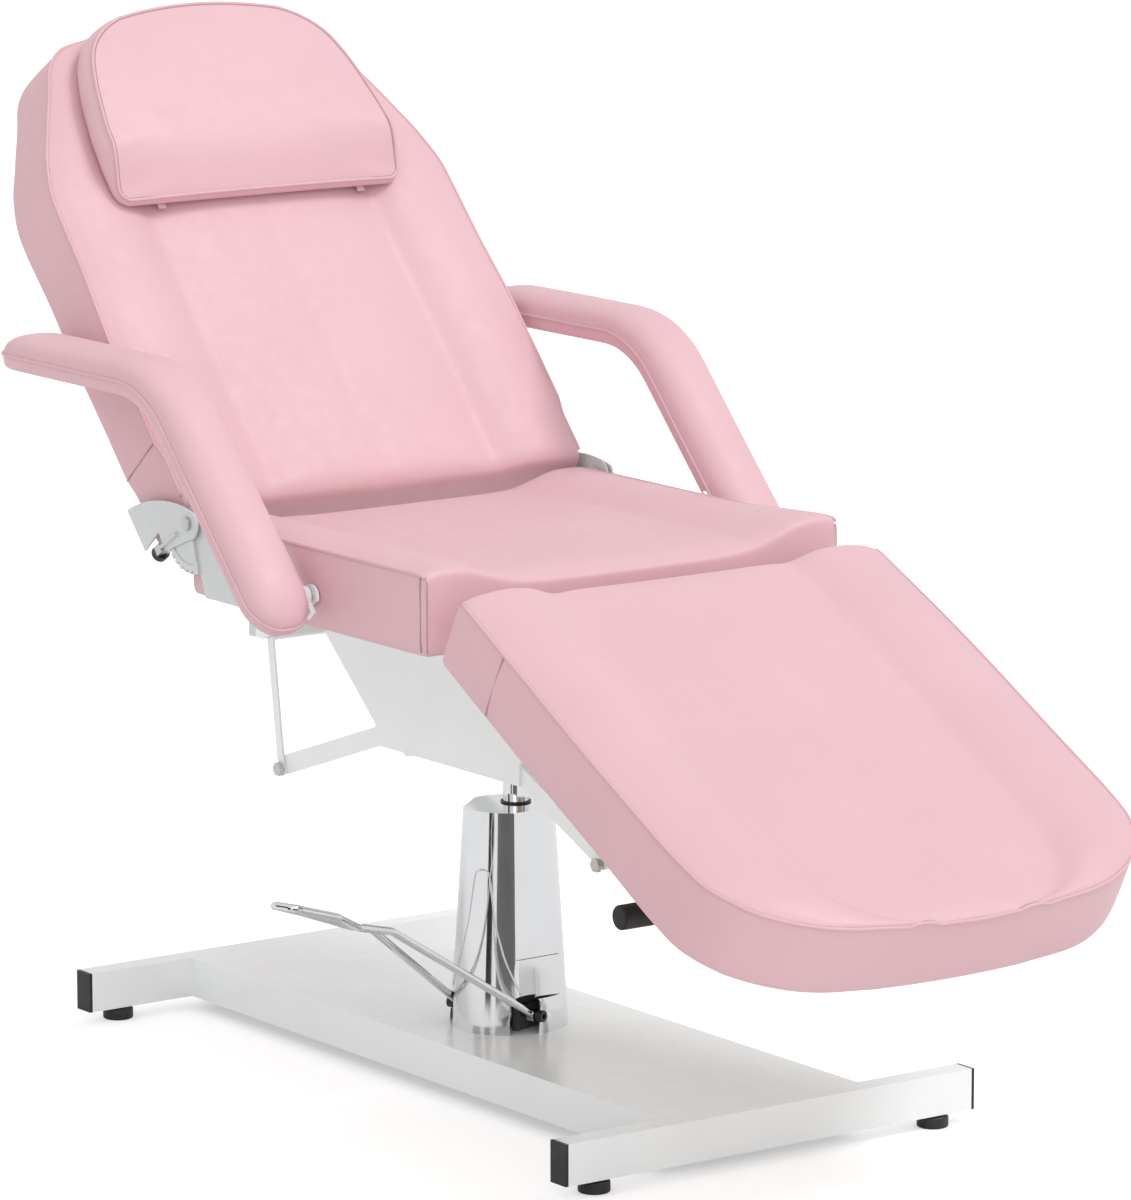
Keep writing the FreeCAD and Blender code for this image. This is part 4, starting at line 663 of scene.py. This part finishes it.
def shares_across(half):
    """Columns as shares of the half width, closer at the edges."""
    return steps(-half, half, GRID, EDGE_FINE, EDGE_FINE) / half


def seat_top(x, along, share):
    """Hollowed middle between two raised borders, rolled at the front and the rear."""
    across = np.abs(x)
    level = spline(SEAT_LEVELS, across)
    side = rounded_drop(SEAT_HALF - np.minimum(across, SEAT_HALF), 4.0) * 0.4
    front = rounded_drop(along - SEAT_FRONT, 16.0) * 0.55
    rear = rounded_drop(SEAT_REAR - along, 14.0) * 0.6
    far_corner = 7.0 * ease(190, 290, x) * ease(-40, -240, along)
    return level - side - front - rear + far_corner


def seat_place(x, along, height):
    """The cover reaches a little further at its far front corner."""
    return base_place(x + 7.0 * ease(150, 290, x) * ease(-60, -240, along), along, height)


def on_seat_front(point):
    return point[1] < SEAT_FRONT + 0.1


seat_rows = steps(SEAT_FRONT, SEAT_REAR, GRID, EDGE_FINE, EDGE_FINE)
seat_half = SEAT_HALF - 6 * ease(226, 246, seat_rows) - 2.0 * ease(SEAT_FRONT + 10, SEAT_FRONT, seat_rows)
seat = Cushion("seat_pad", seat_rows, seat_half, np.zeros(len(seat_rows)), shares_across(SEAT_HALF), seat_top,
               SEAT_BANDS, SEAT_UNDER, seat_place, "seat", SEAT_RECESS)
crease = SEAT_CREASE / SEAT_HALF
upholster(seat, "seat_cushion", seat.held((-crease, crease)), pressure=3.0, cap=5.0)

# The piping grooves and the corner and front seams take the seam finish, whose darker pink is painted seam
# shade.
for name, sign in SIDES:
    pipe(seat, "seat_piping_" + name,
         lambda p: sign * p[0] > SEAT_HALF - 10 and not on_seat_front(p) and p[1] < SEAT_REAR - 6)
    for offset in (0, 9):
        corner = seat.nearest(sign * (SEAT_HALF - 2), SEAT_FRONT + offset)
        seam("seat_corner_seam_%s_%d" % (name, offset), seat.band_line(corner, 0.4), "seat", BAND_SEAM_RADIUS)
seam("seat_front_seam", seat.line(on_seat_front, -3.0, 1.4), "seat")
stitches("seat_front_stitches", seat.line(on_seat_front, -7.0, 2.6), "seat")


# back rest and leg rest

CUSHION_UNDER = -93.8
CUSHION_RECESS = 8.4
PANEL_CREASE = 0.555
PANEL_CREASES = (-PANEL_CREASE, PANEL_CREASE)
PANEL_MIDDLE = -4.0
PANEL_DIP = -7.0


def panel_top(last, foot_roll, end_roll, crest, roll_share):
    """The front face of a long cushion: three panels with a soft crease on each side of the middle."""

    def top(x, along, share):
        across = np.abs(share)
        level = spline([(0, PANEL_MIDDLE), (0.4, PANEL_MIDDLE), (0.5, PANEL_MIDDLE - 1.0),
                        (PANEL_CREASE, PANEL_DIP), (0.61, PANEL_DIP + 4.5), (0.7, crest - 2.5),
                        (0.8, crest), (0.92, crest - 4.0), (1, -2.0)], across)
        half = np.abs(x) / np.maximum(across, NEARLY)
        side = rounded_drop(half * (1 - across), 4.0) * 0.4
        left = np.abs(last - along)
        calm = 0.25 + 0.75 * ease(0, 70, left)
        return (level * calm - side - rounded_drop(np.abs(along), foot_roll) * roll_share
                - rounded_drop(left, end_roll) * 0.5)

    return top


def flare(stations):
    """Extra width of the side band where the photograph shows it leaning out towards the rear."""

    def at(share, base):
        def offset(edge):
            beside_middle = ease(0.3, 0.6, np.abs(edge[:, 0]) / 300)
            return base + share * spline(stations, np.abs(edge[:, 1])) * beside_middle
        return offset

    return at


BACK_LENGTH = 690
BACK_GRID_HALF = 300
BACK_SAG = 6.0
BACK_HALVES = [(0, 296.5), (14, 298), (66, 298), (100, 303), (230, 303), (350, 297), (455, 294), (505, 282),
               (560, 259), (620, 231), (649, 219), (668, 204), (681, 186), (BACK_LENGTH, 148)]
back_rows = steps(0, BACK_LENGTH, GRID, HINGE_FINE, EDGE_FINE)
back_lean = flare([(0, 0), (110, 0), (350, 9), (455, 14), (500, 14), (560, 12), (700, 11)])
back = Cushion("back_pad", back_rows, spline(BACK_HALVES, back_rows),
               BACK_SAG * ease(560, BACK_LENGTH, back_rows), shares_across(BACK_GRID_HALF),
               panel_top(BACK_LENGTH + BACK_SAG, foot_roll=22.0, end_roll=10.0, crest=8.0, roll_share=0.75),
               [(0.05, back_lean(0.08, 0.8)), (0.2, back_lean(0.3, 1.0)), (0.36, back_lean(0.52, 0.6)),
                (0.52, back_lean(0.72, 0.2)), (0.68, back_lean(0.87, 0.1)), (0.84, back_lean(0.98, 0.1)),
                (0.95, back_lean(1.0, -0.8))],
               CUSHION_UNDER, back_place, "back", CUSHION_RECESS)
upholster(back, "back_cushion", back.held(PANEL_CREASES), pressure=3.0, cap=6.0)
pipe(back, "back_piping", lambda p: p[1] > 10)

LEG_LENGTH = 656
LEG_GRID_HALF = 306
LEG_SAG = 3.0
LEG_HALVES = [(0, 301.5), (14, 303), (290, 311), (455, 311), (525, 307), (582, 281), (622, 234), (645, 176),
              (LEG_LENGTH, 98)]
leg_rows = steps(0, LEG_LENGTH, GRID, HINGE_FINE, EDGE_FINE)
leg_lean = flare([(0, 0), (440, 0), (580, 6), (660, 6)])


def leg_skewed(x, along, height):
    """The cover sits a little towards the sitter's right at the foot end, its underside more."""
    out = np.abs(along)
    deep = np.clip(-height / 94, 0, 1)
    return leg_place(x - 6 * ease(100, 450, out) - 8 * ease(330, 600, out) * deep, along, height)


leg = Cushion("leg_pad", -leg_rows, spline(LEG_HALVES, leg_rows), -LEG_SAG * ease(560, LEG_LENGTH, leg_rows),
              shares_across(LEG_GRID_HALF),
              panel_top(-LEG_LENGTH - LEG_SAG, foot_roll=12.0, end_roll=12.0, crest=10.0, roll_share=0.5),
              [(0.05, leg_lean(0.1, 0.8)), (0.2, leg_lean(0.3, 1.2)), (0.36, leg_lean(0.5, 1.0)),
               (0.52, leg_lean(0.7, 0.8)), (0.68, leg_lean(0.85, 0.6)), (0.84, leg_lean(1.0, 0.2)),
               (0.95, leg_lean(1.0, -1.0))],
              CUSHION_UNDER, leg_skewed, "leg", CUSHION_RECESS)
upholster(leg, "leg_cushion", leg.held(PANEL_CREASES), pressure=3.0, cap=6.0)
pipe(leg, "leg_piping", lambda p: p[1] < -4)

BAND_SEAM_X = 302
BACK_SEAM_ALONG = 92
LEG_SEAM_ALONG = -112
# The side seams take the seam finish, whose darker pink is painted seam shade.
for pad, name, along in ((back, "back", BACK_SEAM_ALONG), (leg, "leg", LEG_SEAM_ALONG)):
    for side, sign in SIDES:
        line = pad.band_line(pad.nearest(sign * BAND_SEAM_X, along), 0.5)
        seam("%s_side_seam_%s" % (name, side), line, name, BAND_SEAM_RADIUS)


# head pillow

PILLOW_FOOT = 432
PILLOW_LENGTH = 253
PILLOW_HALF = 209
PILLOW_SAG = 14.0
PILLOW_FACE = 50
PILLOW_FOLD = 66
PILLOW_UNDER = 5.4
PILLOW_SHIFT = 6
PILLOW_HALVES = [(0, 196), (4, 203), (12, 209), (40, 209), (78, 207), (143, 197), (168, 191), (200, 180),
                 (218, 169), (240, 145), (PILLOW_LENGTH, 120)]
PILLOW_FINE = (1.5, 4.0, 8.0, 13.0)
PILLOW_SIDE_FINE = (2.0, 5.0, 10.0, 16.0)
pillow_rows = steps(0, PILLOW_LENGTH, 9, PILLOW_FINE, PILLOW_FINE)


def pillow_top(x, along, share):
    """A flat crowned face that folds back below a crease."""
    up = along - PILLOW_FOOT
    crown = 3.5 * (1 - np.abs(share) ** 2.5) * ease(0, 70, PILLOW_LENGTH + PILLOW_SAG - up)
    lower = -30 * ease(70, 0, up) ** 1.15
    fold = 1.2 * np.exp(-((up - PILLOW_FOLD) / 9) ** 2)
    return PILLOW_FACE + crown + lower + fold


def pillow_place(x, along, height):
    """The pillow hangs a little to the sitter's right."""
    return back_place(x - PILLOW_SHIFT, along, height)


def swell(most):
    """The side band bulges past the piping, least along the folded foot."""
    return lambda edge: most * (0.3 + 0.7 * ease(PILLOW_FOOT, PILLOW_FOOT + 60, edge[:, 1]))


pillow_columns = steps(-PILLOW_HALF, PILLOW_HALF, 10, PILLOW_SIDE_FINE, PILLOW_SIDE_FINE) / PILLOW_HALF
pillow = Cushion("pillow_pad", pillow_rows + PILLOW_FOOT, spline(PILLOW_HALVES, pillow_rows),
                 PILLOW_SAG * ease(60, PILLOW_LENGTH, pillow_rows), pillow_columns, pillow_top,
                 [(0.06, swell(2.0)), (0.22, swell(6.5)), (0.4, swell(10.0)), (0.58, swell(11.0)),
                  (0.76, swell(8.0)), (0.92, swell(1.0))],
                 PILLOW_UNDER, pillow_place, "pillow", under_inset=8.0)
upholster(pillow, "head_pillow", pillow.held(), pressure=3.5, cap=7.0)
pipe(pillow, "pillow_piping", lambda p: True, closed=True)

STRAP_X = 150
STRAP_START = 426
STRAP_END = 548
STRAP_HALF = 6
STRAP_HEIGHT = 3.4
STRAP_LIFT = 1.4
STRAP_STATIONS = 14
STRAP_SECTION = ((-1, 0), (-0.8, 1), (0.8, 1), (1, 0), (0.8, -1), (-0.8, -1))


def strap(name, x):
    """A flat band that shows below the pillow."""
    along = np.linspace(STRAP_START, STRAP_END, STRAP_STATIONS)
    lift = STRAP_LIFT * np.sin(np.linspace(0, math.pi, STRAP_STATIONS))
    verts = [back_place(x + across * STRAP_HALF, a, STRAP_HEIGHT + up + high)
             for a, up in zip(along, lift) for across, high in STRAP_SECTION]
    faces = ring_faces(0, STRAP_STATIONS, len(STRAP_SECTION))
    return new_piece(name, verts, faces, "upholstery", "pillow")


straps = [strap("pillow_strap_" + name, sign * STRAP_X) for name, sign in SIDES]
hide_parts("pillow_straps")


# arm rests

ARM_CROWN = 27
ARM_UNDER = -17.6
ARM_FINE = (1.0, 3.0, 7.0, 13.0, 21.0, 30.0)
ARM_SHARES = (0.25, 0.5, 0.7, 0.86, 0.96, 1)
ARM_BANDS = [(0.12, 0.5), (0.4, 0.3), (0.7, -0.4), (0.92, -2.0)]


def arc(share):
    """The height of a quarter circle, from 0 at its start to 1."""
    return np.sqrt(np.clip(1 - (1 - share) ** 2, 0, 1))


def arm_half_width(along):
    """A rounded head and a rounder lower end."""
    head = arc((2 + np.minimum(along, 52)) / 54)
    foot = arc((1.5 + np.minimum(ARM_LENGTH - along, 46)) / 47.5)
    return ARM_HALF * np.minimum(head, foot)


def arm_top(x, along, share):
    """Crowned across, and falling to the piping at both ends."""
    ends = arc(np.clip(along / 70, 0, 1)) * arc(np.clip((ARM_LENGTH - along) / 60, 0, 1))
    return ARM_CROWN * np.clip(1 - np.abs(share) ** 3, 0, 1) ** 0.45 * ends


arm_rows = steps(0.0, ARM_LENGTH, 10, ARM_FINE, ARM_FINE)
arm_columns = np.array([-share for share in ARM_SHARES[::-1]] + [0, *ARM_SHARES])
for name, sign in SIDES:
    arm = Cushion("arm_pad_" + name, arm_rows, arm_half_width(arm_rows), np.zeros(len(arm_rows)), arm_columns,
                  arm_top, ARM_BANDS, ARM_UNDER, arm_place(sign), "armrest_" + name, under_inset=5.0)
    upholster(arm, "armrest_pad_" + name, arm.held(), pressure=2.5, cap=3.0)
    pipe(arm, "arm_piping_" + name, lambda p: True, height=0.0, thick=2.1, closed=True)


# pressed lines of the pump cover

COVER_TURN = math.radians(20)
COVER_FOOT_RADIUS = 73
COVER_HEAD_RADIUS = 56.5
COVER_FOOT_Z = 66
COVER_HEAD_Z = 338
COVER_OFFSET = 16
COVER_Y = -7
TONGUE_MIDDLE = 183
TONGUE_HEAD = 267.5
TONGUE_HALVES = [(44, 117), (38, 131), (28, 158), (22.5, 180), (17.5, 202), (12.5, 240), (10.5, 256),
                 (8.6, 263), (5, 266.5)]
TONGUE_RADIUS = 1.3
TONGUE_STEP = 3
TONGUE_DEPTH = 0.2


def cover_place(turn, z):
    """A point just inside the cover's tapered drum, at degrees round from the chair's left."""
    rise = (z - COVER_FOOT_Z) / (COVER_HEAD_Z - COVER_FOOT_Z)
    radius = COVER_FOOT_RADIUS + (COVER_HEAD_RADIUS - COVER_FOOT_RADIUS) * rise - TONGUE_DEPTH
    angle = math.radians(turn) + COVER_TURN
    x = -COVER_OFFSET * math.cos(COVER_TURN) + radius * math.cos(angle)
    y = COVER_Y - COVER_OFFSET * math.sin(COVER_TURN) + radius * math.sin(angle)
    return base_place(x, y, z)


tongue = [cover_place(TONGUE_MIDDLE - half, z) for half, z in TONGUE_HALVES]
tongue.append(cover_place(TONGUE_MIDDLE, TONGUE_HEAD))
tongue += [cover_place(TONGUE_MIDDLE + half, z) for half, z in TONGUE_HALVES[::-1]]
tube("pump_tongue", resampled(tongue, TONGUE_STEP * MM), TONGUE_RADIUS * MM, "chrome", "base")


# camera, floor and light

AZIMUTH = math.radians(-35.898)
ELEVATION = math.radians(10.551)
FOCAL_PIXELS = 7000
PICTURE_PIXELS = 1200
SENSOR = 36
CAMERA_SPOT = (-4.8079, -6.7298, 2.1382)


def camera():
    """The camera that was fitted to the photograph, in the frame's metres."""
    back_way = Vector((math.sin(AZIMUTH) * math.cos(ELEVATION), -math.cos(AZIMUTH) * math.cos(ELEVATION),
                       math.sin(ELEVATION)))
    right = Vector((math.cos(AZIMUTH), math.sin(AZIMUTH), 0))
    up = back_way.cross(right)
    lens = bpy.data.cameras.new("photo_camera")
    lens.sensor_width = SENSOR
    lens.lens = FOCAL_PIXELS * SENSOR / PICTURE_PIXELS
    lens.clip_start, lens.clip_end = 0.1, 200
    made = bpy.data.objects.new("photo_camera", lens)
    bpy.context.scene.collection.objects.link(made)
    turn = Matrix((right, up, back_way)).transposed().to_4x4()
    made.matrix_world = Matrix.Translation(CAMERA_SPOT) @ turn
    bpy.context.scene.camera = made


def pale_emission(tree, colour_level, camera_level, mirror_level):
    """A level for light, one for what the camera sees and one for what mirrors see."""
    path = tree.nodes.new("ShaderNodeLightPath")
    source = None
    for ray, wanted in (("Is Glossy Ray", mirror_level), ("Is Camera Ray", camera_level)):
        level = tree.nodes.new("ShaderNodeMapRange")
        level.inputs["To Min"].default_value = colour_level
        level.inputs["To Max"].default_value = wanted
        tree.links.new(path.outputs[ray], level.inputs["Value"])
        if source is not None:
            tree.links.new(source, level.inputs["To Min"])
        source = level.outputs["Result"]
    return source


FLOOR_HALF = 60.0


def floor():
    mesh = bpy.data.meshes.new("floor")
    corners = [(a * FLOOR_HALF, b * FLOOR_HALF, 0) for a, b in ((-1, -1), (1, -1), (1, 1), (-1, 1))]
    mesh.from_pydata(corners, [], [(0, 1, 2, 3)])
    made = bpy.data.objects.new("floor", mesh)
    bpy.context.scene.collection.objects.link(made)
    finish, tree, shader, place = new_material("pale_floor")
    tree.links.new(two_tone(tree, noise(tree, place, 1.5, 2), (0.84, 0.84, 0.845), (0.83, 0.83, 0.835)),
                   shader.inputs["Base Color"])
    shader.inputs["Roughness"].default_value = 0.9
    shader.inputs["Specular IOR Level"].default_value = 0.1
    shader.inputs["Emission Color"].default_value = (1, 1, 1, 1)
    tree.links.new(pale_emission(tree, 0.0, 0.42, 0.0), shader.inputs["Emission Strength"])
    mesh.materials.append(finish)


def card(name, centre, width, height, level):
    """A grey studio flat out of view, for the chrome to mirror."""
    mesh = bpy.data.meshes.new(name)
    look = (Vector((0, 0, 0.6)) - Vector(centre)).normalized()
    side = look.cross(Vector((0, 0, 1))).normalized()
    corners = [Vector(centre) + side * width / 2 * a + Vector((0, 0, 1)) * height / 2 * b
               for a, b in ((-1, -1), (1, -1), (1, 1), (-1, 1))]
    mesh.from_pydata([tuple(c) for c in corners], [], [(0, 1, 2, 3)])
    finish, tree, shader, place = new_material(name + "_cloth")
    tree.links.new(two_tone(tree, noise(tree, place, 3, 2), (level,) * 3, (level * 0.8,) * 3),
                   shader.inputs["Base Color"])
    shader.inputs["Roughness"].default_value = 1
    shader.inputs["Specular IOR Level"].default_value = 0
    mesh.materials.append(finish)
    made = bpy.data.objects.new(name, mesh)
    made.visible_camera = False
    made.visible_shadow = False
    made.visible_diffuse = False
    bpy.context.scene.collection.objects.link(made)


def sun(name, direction, strength, spread_angle):
    lamp = bpy.data.lights.new(name, "SUN")
    lamp.energy = strength
    lamp.angle = math.radians(spread_angle)
    made = bpy.data.objects.new(name, lamp)
    made.rotation_mode = "QUATERNION"
    made.rotation_quaternion = Vector(direction).to_track_quat("Z", "Y")
    bpy.context.scene.collection.objects.link(made)


def world():
    made = bpy.data.worlds.new("studio")
    bpy.context.scene.world = made
    made.use_nodes = True
    tree = made.node_tree
    back_light = tree.nodes["Background"]
    back_light.inputs["Color"].default_value = (1, 1, 1, 1)
    tree.links.new(pale_emission(tree, 0.78, 1.0, 0.84), back_light.inputs["Strength"])


camera()
floor()
card("flat_right", (3.2, -3.6, 1.0), 1.0, 3.0, 0.06)
card("flat_left", (-4.6, 0.8, 1.0), 1.4, 3.0, 0.06)
card("flat_near", (-0.557, -0.583, 0.21), 0.55, 0.42, 0.24)
card("flat_near_left", (-0.81, -0.172, 0.21), 0.18, 0.42, 0.04)
sun("key", (0.42, -0.52, 0.95), 1.15, 22)
sun("fill", (-0.45, -0.85, 0.32), 0.55, 60)
world()
bpy.context.scene.view_settings.view_transform = "Standard"
